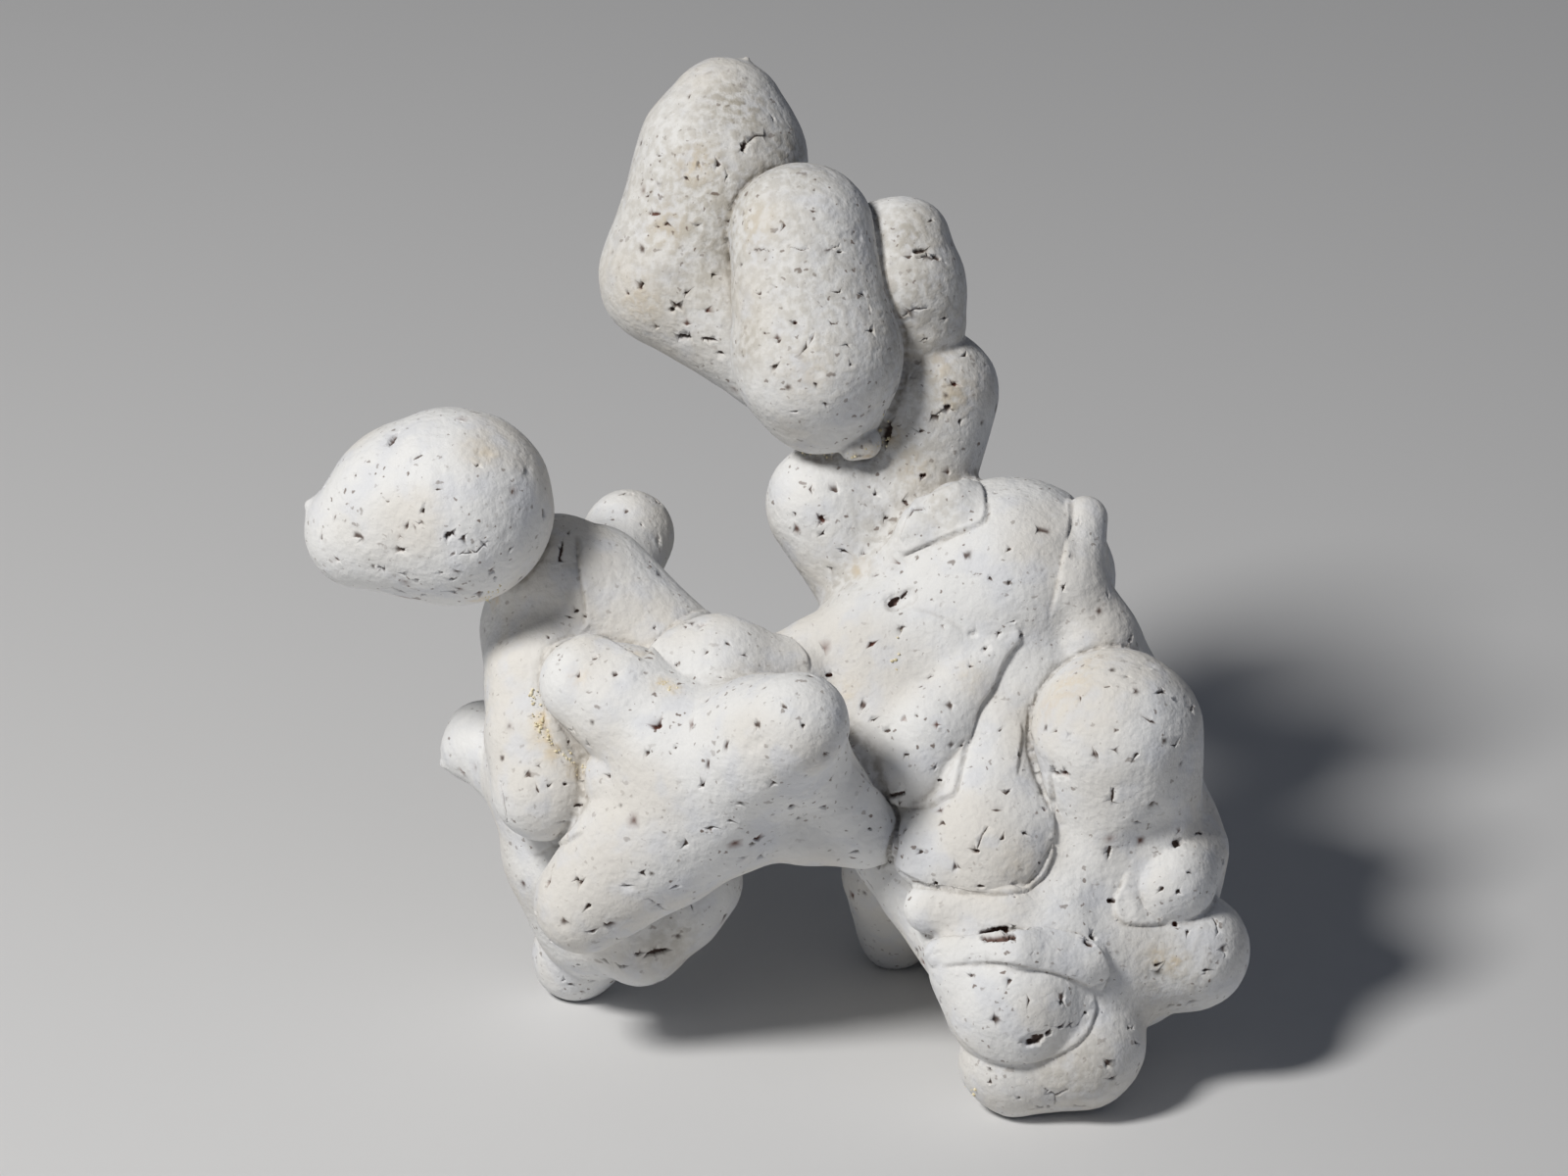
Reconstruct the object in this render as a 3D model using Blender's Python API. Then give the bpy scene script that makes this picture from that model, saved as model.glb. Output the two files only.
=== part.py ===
"""Menilite opal nodule: one white, lobed concretion that stands on three of its lobes.

The nodule grew as soft lobes that swelled out of each other. Each lobe here is a row of
beads, from its root to its head. A lobe melts into the stone at its root and meets the
stone in a sharp crease at its head. Spheres are laid along every row and fused into one
skin, and that skin is then drawn onto the exact rounded surface of the lobes.
"""

import math

import bmesh
import bpy
import numpy as np
from mathutils import Vector

MM = 0.001

# The table below is laid out facing the show side, as seen from this far away.
STANDPOINT_MM = 900.0
# The show side faces upwards by this angle when the nodule stands on its feet.
LEAN_DEG = 25.0

# Each lobe: name, depth share, melt at its root, crease at its head, and its beads.
# A bead is (across, up, towards the eye, radius), all in millimetres.
# A depth share under one makes a flat sheet of the lobe.
LOBES = (
    # The heavy body on the right.
    ("body_core", 1.0, 4.0, 1.0, ((23.5, -3, -4, 9.6), (27.5, -16, -4, 12.0),
                                  (28.5, -29, -2, 12.6), (27.5, -38, 3, 10.5))),
    ("body_top", 1.0, 4.0, 1.0, ((22, -6, -2, 9.5), (23, 0.6, -1, 10.8))),
    ("body_left", 1.0, 4.0, 1.5, ((11.0, -11, -0.5, 7.0), (15.5, -21, 0.5, 7.5),
                                  (20, -33, 4, 7.0))),
    ("underside", 1.0, 3.0, 1.0, ((10.8, -24.5, -2, 5.2), (18.6, -36.5, 3.5, 4.8))),
    ("body_back", 1.0, 3.0, 0.5, ((28, -14, -8, 8), (31, -19, -13, 8.5))),
    ("body_back_top", 1.0, 3.0, 0.5, ((22, -2, -6, 7), (20, 0, -12, 6.5))),
    ("side_strip", 1.0, 3.0, 0.5, ((34, -10, 1.5, 4.8), (32.2, -5, 3, 4.2),
                                   (29.9, 0.5, 4, 3.5), (30.5, 6.8, 2, 2.1))),
    ("shoulder_ridge", 1.0, 4.0, 1.5, ((16, -5, -1, 9.0), (8.4, -6.5, 0, 6.0),
                                       (3.5, -7.6, 1, 4.6), (0, -8.0, 1, 3.5))),
    ("ledge_tongue", 1.0, 1.0, 0.4, ((10.5, 1.5, 1.6, 1.3), (14.5, 6, 2.6, 2.6),
                                     (17.8, 7.8, 3.6, 3.1))),
    ("bib", 0.6, 3.0, 0.4, ((11.5, -7, 2.5, 8.0), (10.8, -14, 3.8, 7.4),
                            (11.6, -16.8, 4.4, 6.1))),
    ("bib_roll", 1.0, 1.5, 0.4, ((14.5, -14, 4.5, 4.2), (18.5, -9.2, 6.2, 2.6),
                                 (22.0, -5.3, 7.2, 2.2))),
    ("tongue", 0.8, 1.5, 0.4, ((24.5, -7, 4.5, 2.2), (22.2, -14, 6.5, 3.5),
                               (21.2, -20, 7.4, 4.8), (21.3, -25, 8, 6.3))),
    ("tongue_side", 0.8, 1.5, 0.4, ((20, -25, 8, 5), (15.6, -26.2, 7.2, 4.4))),
    ("right_column", 1.0, 4.0, 1.5, ((33, -20, -1, 9.2), (34.8, -27, 0, 10.2),
                                     (33.5, -36, 1, 9.5))),
    ("right_ball", 1.0, 4.0, 0.4, ((34.5, -25, 3.5, 8), (34, -14.9, 8, 8.8))),
    ("nested_lobe", 1.0, 2.5, 0.4, ((41, -27, 3, 4.3), (40.0, -29.5, 7.0, 4.4))),
    ("hip", 1.0, 3.0, 0.6, ((34, -37, 4, 7), (41.4, -37, 4, 6.2))),
    ("small_lobe", 1.0, 0.4, 0.3, ((35.3, -31.2, 10.3, 1.1), (35.2, -32.9, 10.6, 1.0))),
    ("cheek", 1.0, 2.5, 0.5, ((32, -33, 7, 3.6), (23, -32.8, 9.5, 3.4),
                              (15.0, -32.5, 8.5, 2.8))),
    ("chin", 1.0, 3.0, 0.5, ((28, -36.5, 6, 7.5), (20.8, -38.5, 7.8, 5.9),
                             (23.8, -41.2, 8.6, 7.6))),
    ("band", 1.0, 0.8, 0.4, ((15.8, -37.5, 10.4, 1.2), (24, -37.1, 14.6, 2.0),
                             (30.4, -38.0, 11.9, 2.9))),
    ("front_foot", 1.0, 2.5, 0.5, ((30.2, -43, 5, 6.5), (30.2, -46.3, 6, 6.6),
                                   (23.8, -48, 5.5, 6.0))),
    # The neck and the three fingers on top.
    ("neck", 1.0, 4.0, 1.0, ((10.5, 0, -6, 6.5), (4.4, 8.5, -5, 6.3))),
    ("neck_right", 1.0, 3.0, 2.0, ((11.5, 1, -6, 6), (13.3, 10, -6, 6.0),
                                   (15.5, 20, -5, 6.4))),
    ("right_finger", 1.0, 1.2, 0.4, ((13.6, 27.5, -5, 5.0), (12.8, 31, -5, 5.6),
                                     (12.2, 35.3, -5, 4.4))),
    ("upper_left", 1.0, 4.0, 0.5, ((9, 10, -7, 5.0), (8, 19, -7, 5.2), (0, 24, -8, 6.4),
                                   (-11, 32, -9, 7.6), (-6.4, 43.3, -9, 8.7),
                                   (-5.5, 48.0, -9, 5.7))),
    ("beak", 1.0, 2.0, 0.5, ((-4.9, 50.8, -9, 2.4), (-3.8, 54.0, -9, 0.35))),
    ("middle_finger", 1.0, 1.2, 0.4, ((3.8, 20.8, 0.5, 7.2), (3.4, 23.8, 2, 8.6),
                                      (1.8, 36, 1, 7.5))),
    ("pebble", 1.0, 0.3, 0.3, ((7.4, 14.0, 4.4, 1.2), (8.4, 14.7, 4.6, 1.4))),
    # The arm on the left, with the egg at its top.
    ("arm", 1.0, 4.0, 2.0, ((-23, 0.8, -3, 6.8), (-23.8, -4, -5, 7.0),
                            (-23.3, -11, -6, 7.1), (-22.8, -20, -7, 7.2),
                            (-21, -27, -9, 7.5), (-19, -33, -12, 6.8))),
    ("arm_back", 1.0, 3.0, 0.5, ((-21, -16, -11, 6), (-18, -19, -15.5, 6.2))),
    ("upper_arm", 1.0, 2.0, 0.8, ((-5.5, -12.2, -3, 6.3), (-13, -7.1, -3, 6.8),
                                  (-20.0, -0.6, -3.5, 7.2))),
    ("behind_lobe", 1.0, 3.0, 0.5, ((-18, -1, -10, 4), (-16, 5.2, -17, 4.8))),
    ("back_left", 1.0, 3.0, 0.8, ((-25.5, -19, -10, 5.3), (-30.5, -15.6, -14, 4.2))),
    ("back_left_tip", 1.0, 1.5, 0.5, ((-32.5, -17, -14, 2.2), (-34.6, -17.9, -14, 0.5))),
    ("egg", 1.0, 0.6, 0.4, ((-33.6, 8.4, 6, 10.2), (-38.0, 8.0, 5.5, 8.7),
                            (-42.8, 6.0, 5, 6.1))),
    ("egg_nub", 1.0, 0.6, 0.4, ((-46.4, 7.6, 5, 2.2), (-48.2, 8.4, 5, 0.7))),
    # The roll in front, from the heel at lower left up to the nose.
    ("hanging_left", 1.0, 3.0, 0.4, ((-24.4, -9, 0, 6.0), (-24.4, -15, 1.2, 6.0),
                                     (-24.6, -20.3, 3, 5.3))),
    ("heel", 1.0, 4.0, 0.4, ((-8, -20, 6, 8.0), (-13, -25, 5, 7.8), (-20.3, -32, 3, 5.3))),
    ("knob", 1.0, 4.0, 0.4, ((-12, -15, 7.5, 7.0), (-16, -12, 7, 6.0),
                            (-19.8, -9.8, 6.5, 4.9))),
    ("shoulder_lobe", 1.0, 3.0, 0.4, ((0, -10, 4, 4.4), (-6.5, -8.6, 5.5, 5.7),
                                      (-8.5, -9.8, 6, 5.2))),
    ("nose", 1.0, 4.0, 0.6, ((-8, -19.5, 7, 8.4), (-2, -15.9, 14, 7.0),
                             (1.2, -14.1, 19, 5.5))),
    ("bridge", 1.0, 4.0, 0.6, ((-6, -21.5, 6, 6.5), (2, -23.2, 6, 4.8), (8, -25.1, 5.5, 3.6))),
    ("bridge_web", 1.0, 4.0, 0.8, ((2, -17, 12, 4.2), (8.1, -24.6, 6.5, 3.5))),
    # The feet and the lobes behind them.
    ("left_foot", 1.0, 3.0, 0.4, ((-17.5, -32, -12, 5.5), (-21.2, -37.5, -17.6, 4.6))),
    ("under_heel", 1.0, 3.0, 0.5, ((-16, -33, -8, 5.2), (-15, -35.6, -9, 4.8))),
    ("under_heel_right", 1.0, 3.0, 0.8, ((-12, -28, -8, 5.5), (-8.9, -30, -9, 4.6))),
    ("back_foot", 1.0, 4.0, 1.0, ((15, -22, -8, 7), (11.0, -29, -16, 5),
                                  (11.5, -35, -24, 4.0))),
    ("back_foot_side", 1.0, 4.0, 1.0, ((24, -28, -10, 8), (18.5, -34.5, -22.8, 5))),
)

# Holes and folds sunk into the lobes: name, width of the rounded rim, and their beads.
HOLLOWS = (
    ("cave_under_bridge", 0.5, ((10.2, -29.2, 5.5, 0.8), (12.6, -30.1, 7.2, 0.9))),
    ("slot_over_band", 0.3, ((20.2, -35.6, 13.8, 0.5), (24.2, -35.6, 15.6, 0.5))),
    ("pit_over_band", 0.3, ((31.2, -36.0, 13.4, 0.9), (31.4, -35.9, 11.5, 0.7))),
    ("pit_by_ball", 0.3, ((26.8, -19.2, 10.6, 0.8), (28.2, -18.8, 12.8, 0.6))),
    ("pit_in_chin", 0.3, ((24.8, -46.4, 14.6, 0.6), (26.4, -45.6, 15.2, 0.5))),
    ("hollow_on_shoulder", 0.5, ((11.2, -1.5, 6.6, 0.7), (12.6, -0.7, 7.0, 0.8))),
    ("fold_by_nested_lobe", 2.5, ((39.5, -25.0, 12.4, 1.6), (35.2, -28.4, 13.4, 1.8),
                                  (33.6, -32.0, 13.2, 1.7))),
)

# The skin: size of the cubes that fuse the spheres, and how often it is drawn in.
SKIN_CELL_MM = 1.0
DRAW_ROUNDS = 3
# Where the nodule stands: the feet are worn flat at the floor, and the middle of its
# box is the origin. Across and back are seen from the show side.
FLOOR_MM = -46.25
MIDDLE_ACROSS_MM = -0.62
MIDDLE_BACK_MM = 1.54
# Triangles kept in the finished solid.
TRIANGLES = 9700

STONE_COLOUR = (0.80, 0.79, 0.76, 1.0)
STONE_ROUGHNESS = 0.85


def clear_scene():
    for thing in list(bpy.data.objects):
        bpy.data.objects.remove(thing, do_unlink=True)


def real_beads(beads):
    """Beads as laid out from the standpoint, turned into real places and radii."""
    laid = np.array(beads, dtype=float)
    share = 1.0 - laid[:, 2:3] / STANDPOINT_MM
    return np.hstack([laid[:, 0:2] * share, laid[:, 2:3], laid[:, 3:4] * share])


def link_distance(points, start, end, depth_share):
    """Distance to the skin round two neighbouring beads, and how far along them."""
    stretch = np.array([1.0, 1.0, 1.0 / depth_share])
    here = points * stretch
    first = start[:3] * stretch
    line = end[:3] * stretch - first
    length = max(float(np.linalg.norm(line)), 1e-6)
    unit = line / length
    growth = float(np.clip(end[3] - start[3], -0.95 * length, 0.95 * length))
    slope = growth / math.sqrt(length * length - growth * growth)
    offset = here - first
    along = offset @ unit
    away = np.sqrt(np.maximum((offset * offset).sum(axis=1) - along * along, 0.0))
    share = np.clip((along + away * slope) / length, 0.0, 1.0)
    gap = offset - share[:, None] * line
    reach = np.sqrt((gap * gap).sum(axis=1)) + 1e-9
    steep = np.sqrt(((gap / reach[:, None] * stretch) ** 2).sum(axis=1))
    return (reach - start[3] - share * growth) / steep, share


def melted(first, second, width):
    """The lower of two distances, rounded off where they cross."""
    close = np.maximum(width - np.abs(first - second), 0.0) / width
    return np.minimum(first, second) - close * close * width * 0.25


def lobe_distance(points, lobe):
    """Distance to one lobe, and the width over which it melts into the stone."""
    name, depth_share, melt, crease, beads = lobe
    row = real_beads(beads)
    links = len(row) - 1
    distance, along = link_distance(points, row[0], row[1], depth_share)
    along = along / links
    for index in range(1, links):
        other, share = link_distance(points, row[index], row[index + 1], depth_share)
        along = np.where(other < distance, (index + share) / links, along)
        distance = melted(distance, other, 1.0)
    along = along * along * (3.0 - 2.0 * along)
    return distance, melt + (crease - melt) * along


def hollow_distance(points, beads):
    """Distance to the skin round the beads of one hollow, negative inside it."""
    row = real_beads(beads)
    links = [link_distance(points, start, end, 1.0)[0]
             for start, end in zip(row[:-1], row[1:])]
    return np.minimum.reduce(links)


def stone_distance(points):
    """Distance from each point to the skin of the whole nodule, negative inside."""
    total = None
    for lobe in LOBES:
        distance, width = lobe_distance(points, lobe)
        total = distance if total is None else melted(total, distance, width)
    for name, width, beads in HOLLOWS:
        total = -melted(-total, hollow_distance(points, beads), width)
    return total


def drawn_onto_stone(points, rounds):
    """Points moved along the slope of the distance until they lie on the skin."""
    step = 0.02
    corners = np.array([[1, 1, 1], [1, -1, -1], [-1, 1, -1], [-1, -1, 1]], dtype=float)
    for _ in range(rounds):
        parts = [stone_distance(points + step * corner) for corner in corners]
        height = sum(parts) / 4.0
        slope = sum(part[:, None] * corner for part, corner in zip(parts, corners))
        slope = slope / (4.0 * step)
        size = np.maximum((slope * slope).sum(axis=1), 0.05)
        move = (height / size)[:, None] * slope
        reach = np.sqrt((move * move).sum(axis=1))[:, None]
        points = points - move * np.minimum(1.0, 1.5 / np.maximum(reach, 1e-9))
    return points


def lobe_spheres(depth_share, beads):
    """Spheres laid closely along one lobe, as a mesh."""
    work = bmesh.new()
    row = real_beads(beads)
    for start, end in zip(row[:-1], row[1:]):
        gap = float(np.linalg.norm(end[:3] - start[:3]))
        count = max(2, int(math.ceil(gap / (0.4 * min(start[3], end[3])))) + 1)
        for share in np.linspace(0.0, 1.0, count):
            bead = start + share * (end - start)
            made = bmesh.ops.create_icosphere(work, subdivisions=2, radius=bead[3])
            bmesh.ops.scale(work, vec=(1, 1, depth_share), verts=made["verts"])
            bmesh.ops.translate(work, vec=Vector(bead[:3]), verts=made["verts"])
    mesh = bpy.data.meshes.new("lobe_spheres")
    work.to_mesh(mesh)
    work.free()
    return mesh


def sphere_skin():
    """The spheres of every lobe, fused into one closed skin of small cells."""
    skin = bmesh.new()
    for name, depth_share, melt, crease, beads in LOBES:
        spheres = lobe_spheres(depth_share, beads)
        skin.from_mesh(spheres)
        bpy.data.meshes.remove(spheres)
    mesh = bpy.data.meshes.new("sphere_skin")
    skin.to_mesh(mesh)
    skin.free()
    thing = bpy.data.objects.new("sphere_skin", mesh)
    bpy.context.scene.collection.objects.link(thing)
    fuse = thing.modifiers.new("fuse", "REMESH")
    fuse.mode = "VOXEL"
    fuse.voxel_size = SKIN_CELL_MM
    fuse.adaptivity = 0.0
    return thing


def evaluated_mesh(thing, name):
    """The mesh that an object's modifiers make, as a mesh of its own."""
    graph = bpy.context.evaluated_depsgraph_get()
    made = bpy.data.meshes.new_from_object(thing.evaluated_get(graph), depsgraph=graph)
    made.name = name
    return made


def mesh_points(mesh):
    flat = np.empty(len(mesh.vertices) * 3)
    mesh.vertices.foreach_get("co", flat)
    return flat.reshape(-1, 3)


def set_mesh_points(mesh, points):
    mesh.vertices.foreach_set("co", np.ascontiguousarray(points, dtype=float).ravel())
    mesh.update()


def keep_largest(mesh):
    """Drops any crumb of skin that isn't joined to the nodule."""
    work = bmesh.new()
    work.from_mesh(mesh)
    unseen = set(work.verts)
    islands = []
    while unseen:
        front = [unseen.pop()]
        island = list(front)
        while front:
            vert = front.pop()
            for edge in vert.link_edges:
                other = edge.other_vert(vert)
                if other in unseen:
                    unseen.remove(other)
                    island.append(other)
                    front.append(other)
        islands.append(island)
    islands.sort(key=len)
    for island in islands[:-1]:
        bmesh.ops.delete(work, geom=island, context="VERTS")
    work.to_mesh(mesh)
    work.free()


def relaxed(mesh, points):
    """Evens out the cells of the skin with one gentle smoothing."""
    set_mesh_points(mesh, points)
    work = bmesh.new()
    work.from_mesh(mesh)
    bmesh.ops.smooth_vert(work, verts=work.verts, factor=0.5,
                          use_axis_x=True, use_axis_y=True, use_axis_z=True)
    work.to_mesh(mesh)
    work.free()
    return mesh_points(mesh)


def standing(points):
    """Turns the show side up by the lean: across stays X, and the eye is at minus Y."""
    lean = math.radians(LEAN_DEG)
    across, up, towards = points[:, 0], points[:, 1], points[:, 2]
    back = up * math.sin(lean) - towards * math.cos(lean)
    height = up * math.cos(lean) + towards * math.sin(lean)
    return np.stack([across, back, height], axis=1)


def wear_feet(mesh):
    """Cuts the feet flat at the floor and closes the cuts."""
    work = bmesh.new()
    work.from_mesh(mesh)
    everything = work.verts[:] + work.edges[:] + work.faces[:]
    cut = bmesh.ops.bisect_plane(work, geom=everything, dist=1e-6,
                                 plane_co=(0, 0, FLOOR_MM), plane_no=(0, 0, -1),
                                 clear_outer=True)
    rim = [part for part in cut["geom_cut"] if isinstance(part, bmesh.types.BMEdge)]
    bmesh.ops.holes_fill(work, edges=rim, sides=0)
    bmesh.ops.triangulate(work, faces=work.faces[:])
    bmesh.ops.recalc_face_normals(work, faces=work.faces[:])
    work.to_mesh(mesh)
    work.free()


def stone_material():
    material = bpy.data.materials.new("chalky_opal")
    material.use_nodes = True
    shader = material.node_tree.nodes["Principled BSDF"]
    shader.inputs["Base Color"].default_value = STONE_COLOUR
    shader.inputs["Roughness"].default_value = STONE_ROUGHNESS
    shader.inputs["Metallic"].default_value = 0.0
    return material


def make_nodule():
    spheres = sphere_skin()
    mesh = evaluated_mesh(spheres, "menilite_nodule")
    bpy.data.objects.remove(spheres, do_unlink=True)
    keep_largest(mesh)
    points = drawn_onto_stone(mesh_points(mesh), DRAW_ROUNDS)
    points = drawn_onto_stone(relaxed(mesh, points), DRAW_ROUNDS)
    set_mesh_points(mesh, points)
    nodule = bpy.data.objects.new("menilite_nodule", mesh)
    bpy.context.scene.collection.objects.link(nodule)
    thin = nodule.modifiers.new("thin", "DECIMATE")
    thin.ratio = min(1.0, TRIANGLES / (2.0 * len(mesh.polygons)))
    thin.use_collapse_triangulate = True
    made = evaluated_mesh(nodule, "menilite_nodule")
    nodule.modifiers.remove(thin)
    nodule.data = made
    set_mesh_points(made, standing(mesh_points(made)))
    wear_feet(made)
    origin = np.array([MIDDLE_ACROSS_MM, MIDDLE_BACK_MM, FLOOR_MM])
    set_mesh_points(made, (mesh_points(made) - origin) * MM)
    made.materials.append(stone_material())
    return nodule


clear_scene()
make_nodule()
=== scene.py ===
# %% [markdown]
# # A menilite opal nodule
# Menilite is an impure, chalky opal that grows as lumps in soft clay. Each lump swells out of
# the one before, so the stone becomes a cluster of round lobes with tight creases between them.
# This lesson builds one such nodule, 96 mm wide, with its creases, pits, pores and traces of
# clay. It starts from a plain model of the same nodule, which fixes its size and its place.

# %% Load the plain model
import math

import bmesh
import bpy
import numpy as np
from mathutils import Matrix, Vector, bvhtree, kdtree, noise


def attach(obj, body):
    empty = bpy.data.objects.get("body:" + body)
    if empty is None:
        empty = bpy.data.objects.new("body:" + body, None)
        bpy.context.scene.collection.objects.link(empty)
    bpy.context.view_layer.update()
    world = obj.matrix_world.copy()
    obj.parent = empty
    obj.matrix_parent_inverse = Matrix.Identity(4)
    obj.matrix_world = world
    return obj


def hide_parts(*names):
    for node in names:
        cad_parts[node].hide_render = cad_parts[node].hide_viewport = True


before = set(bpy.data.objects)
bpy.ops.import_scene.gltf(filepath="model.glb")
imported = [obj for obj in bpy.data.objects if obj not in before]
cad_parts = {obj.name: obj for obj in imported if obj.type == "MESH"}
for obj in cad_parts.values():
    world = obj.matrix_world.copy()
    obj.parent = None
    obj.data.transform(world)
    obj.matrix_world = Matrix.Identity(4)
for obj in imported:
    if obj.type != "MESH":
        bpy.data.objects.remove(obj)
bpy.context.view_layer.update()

# %% [markdown]
# ## How places are given
# A lumpy stone has no straight edges to measure from. It is easiest to lay it out as the eye
# sees its show side: so far across, so far up, and so far towards the eye, in millimetres. One
# function then turns any such place to where the stone stands, leaning back a little on its feet.

# %% From the show side to the standing stone
MM = 0.001
STANDPOINT_MM = 900.0
LEAN_DEG = 25.0
FLOOR_MM = -46.25
MIDDLE_ACROSS_MM = -0.62
MIDDLE_BACK_MM = 1.54


def standing(points):
    """Places facing the show side, in mm, turned to the standing stone, in metres."""
    lean = math.radians(LEAN_DEG)
    across, up, towards = points[:, 0], points[:, 1], points[:, 2]
    back = up * math.sin(lean) - towards * math.cos(lean)
    height = up * math.cos(lean) + towards * math.sin(lean)
    origin = np.array([MIDDLE_ACROSS_MM, MIDDLE_BACK_MM, FLOOR_MM])
    return (np.stack([across, back, height], axis=1) - origin) * MM


eye_and_aim = standing(np.array([[0.0, 0.0, STANDPOINT_MM], [0.0, 0.0, 0.0]]))
print("eye at", eye_and_aim[0].round(3), "looking at", eye_and_aim[1].round(3))

# %% [markdown]
# ## The camera
# The stone fills the view from 0.9 m away, so the lens is a long one and the lobes keep their
# true proportions. The width of what the view takes in, 160 mm, gives the focal length.

# %% Camera
VIEW_WIDTH_MM = 160.0
SENSOR_MM = 36.0


def make_camera():
    eye, aim = Vector(eye_and_aim[0]), Vector(eye_and_aim[1])
    lens = bpy.data.cameras.new("camera")
    lens.sensor_width = SENSOR_MM
    lens.lens = SENSOR_MM * STANDPOINT_MM / VIEW_WIDTH_MM
    lens.clip_start = 0.05
    camera = bpy.data.objects.new("camera", lens)
    camera.location = eye
    camera.rotation_euler = (aim - eye).to_track_quat("-Z", "Y").to_euler()
    bpy.context.scene.collection.objects.link(camera)
    bpy.context.scene.camera = camera
    return camera


camera = make_camera()
print("focal length", round(camera.data.lens, 1), "mm")

# %% [markdown]
# ## The lobes
# The stone could be sculpted by hand, but then no one could change it by a number. So each
# lobe is a row of beads, from its root to its head: (across, up, towards the eye, radius). A
# lobe also has a depth share, under one for a flat sheet, the width in millimetres over which
# it melts into the stone at its root, and the width of the crease at its head. The heavy body
# on the right comes first.

# %% Lobes of the body
BODY_LOBES = (
    ("body_core", 1.0, 4.0, 1.0, ((23.5, -3, -4, 9.6), (27.5, -16, -4, 12.0),
                                  (28.5, -29, -2, 12.6), (27.5, -38, 3, 10.5))),
    ("body_top", 1.0, 4.0, 1.0, ((22, -6, -2, 9.5), (23, 0.6, -1, 10.8))),
    ("body_left", 1.0, 4.0, 1.5, ((11.0, -11, -0.5, 7.0), (15.5, -21, 0.5, 7.5),
                                  (20, -33, 4, 7.0))),
    ("underside", 1.0, 3.0, 1.0, ((10.8, -24.5, -2, 5.2), (18.6, -36.5, 3.5, 4.8))),
    ("body_back", 1.0, 3.0, 0.5, ((28, -14, -8, 8), (31, -19, -13, 8.5))),
    ("body_back_top", 1.0, 3.0, 0.5, ((22, -2, -6, 7), (20, 0, -12, 6.5))),
    ("side_strip", 1.0, 1.2, 0.6, ((34, -10, 1.5, 4.8), (31.7, -5, 3.6, 4.3),
                                   (29.2, 0.5, 5.2, 3.6), (30.6, 7.0, 3.2, 2.4))),
    ("shoulder_ridge", 1.0, 4.0, 1.5, ((16, -5, -1, 9.0), (8.4, -6.5, 0, 6.0),
                                       (3.5, -7.6, 1, 4.6), (0, -8.0, 1, 3.5))),
    ("ledge_tongue", 1.0, 1.0, 1.0, ((10.5, 1.5, 1.6, 1.3), (14.5, 6, 2.6, 2.6),
                                     (17.8, 7.8, 3.6, 3.1))),
    ("bib", 0.6, 2.0, 1.2, ((11.5, -7, 2.5, 8.0), (10.8, -14, 3.8, 7.4),
                            (11.6, -16.8, 4.4, 6.1))),
    ("bib_roll", 1.0, 1.5, 1.0, ((13.2, -18.2, 5.6, 4.4), (15.0, -14, 6.6, 4.2), (18.6, -9.4, 6.8, 2.8),
                                 (21.0, -6.6, 6.7, 2.2))),
    ("roll_knob", 1.0, 1.0, 0.5, ((22.0, -5.0, 6.0, 2.0), (21.7, -4.6, 6.7, 1.9))),
    ("tongue", 0.8, 1.2, 1.2, ((25.0, -6.5, 5.2, 3.0), (22.2, -14, 6.5, 3.5),
                               (21.2, -20, 7.4, 4.8), (21.3, -25.6, 8.4, 6.8))),
    ("tongue_side", 0.8, 1.5, 1.2, ((20, -25, 8, 5), (16.0, -26.6, 7.6, 5.0))),
    ("right_column", 1.0, 4.0, 1.5, ((33, -20, -1, 9.2), (34.8, -27, 0, 10.2),
                                     (33.5, -36, 1, 9.5))),
    ("right_ball", 1.0, 1.5, 0.12, ((34.5, -25, 3.5, 8), (34, -14.9, 8, 8.8))),
    ("nested_lobe", 1.0, 0.8, 0.12, ((41, -27, 3, 4.3), (39.4, -29.8, 7.0, 4.9))),
    ("hip", 1.0, 2.0, 0.3, ((34, -37, 4, 7), (41.4, -37, 4, 6.2))),
    ("small_lobe", 1.0, 0.2, 0.12, ((35.2, -31.0, 9.3, 1.5), (35.3, -33.0, 9.6, 1.4))),
    ("cheek", 1.0, 1.0, 0.15, ((32, -33, 7, 3.6), (23, -32.8, 9.5, 3.4),
                              (15.0, -32.5, 8.5, 2.8))),
    ("chin", 1.0, 2.0, 1.0, ((28, -36.5, 6, 7.5), (20.8, -38.5, 7.8, 5.9),
                             (24.0, -41.3, 8.2, 7.95))),
    ("band", 1.0, 0.3, 0.12, ((15.8, -37.5, 10.4, 1.2), (24, -37.1, 14.6, 2.0),
                             (30.4, -38.0, 11.9, 2.9))),
    ("front_foot", 1.0, 1.5, 0.15, ((30.2, -43, 5, 6.5), (30.2, -46.3, 6, 6.6),
                                   (23.8, -48, 5.5, 6.0))),
)
print(len(BODY_LOBES), "lobes in the body")

# %% [markdown]
# Three fingers stand on a narrow neck. The left one leans out over the gap and ends in a small
# beak, the middle one is a long capsule that sits in front, and the right one is pinched.

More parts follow.
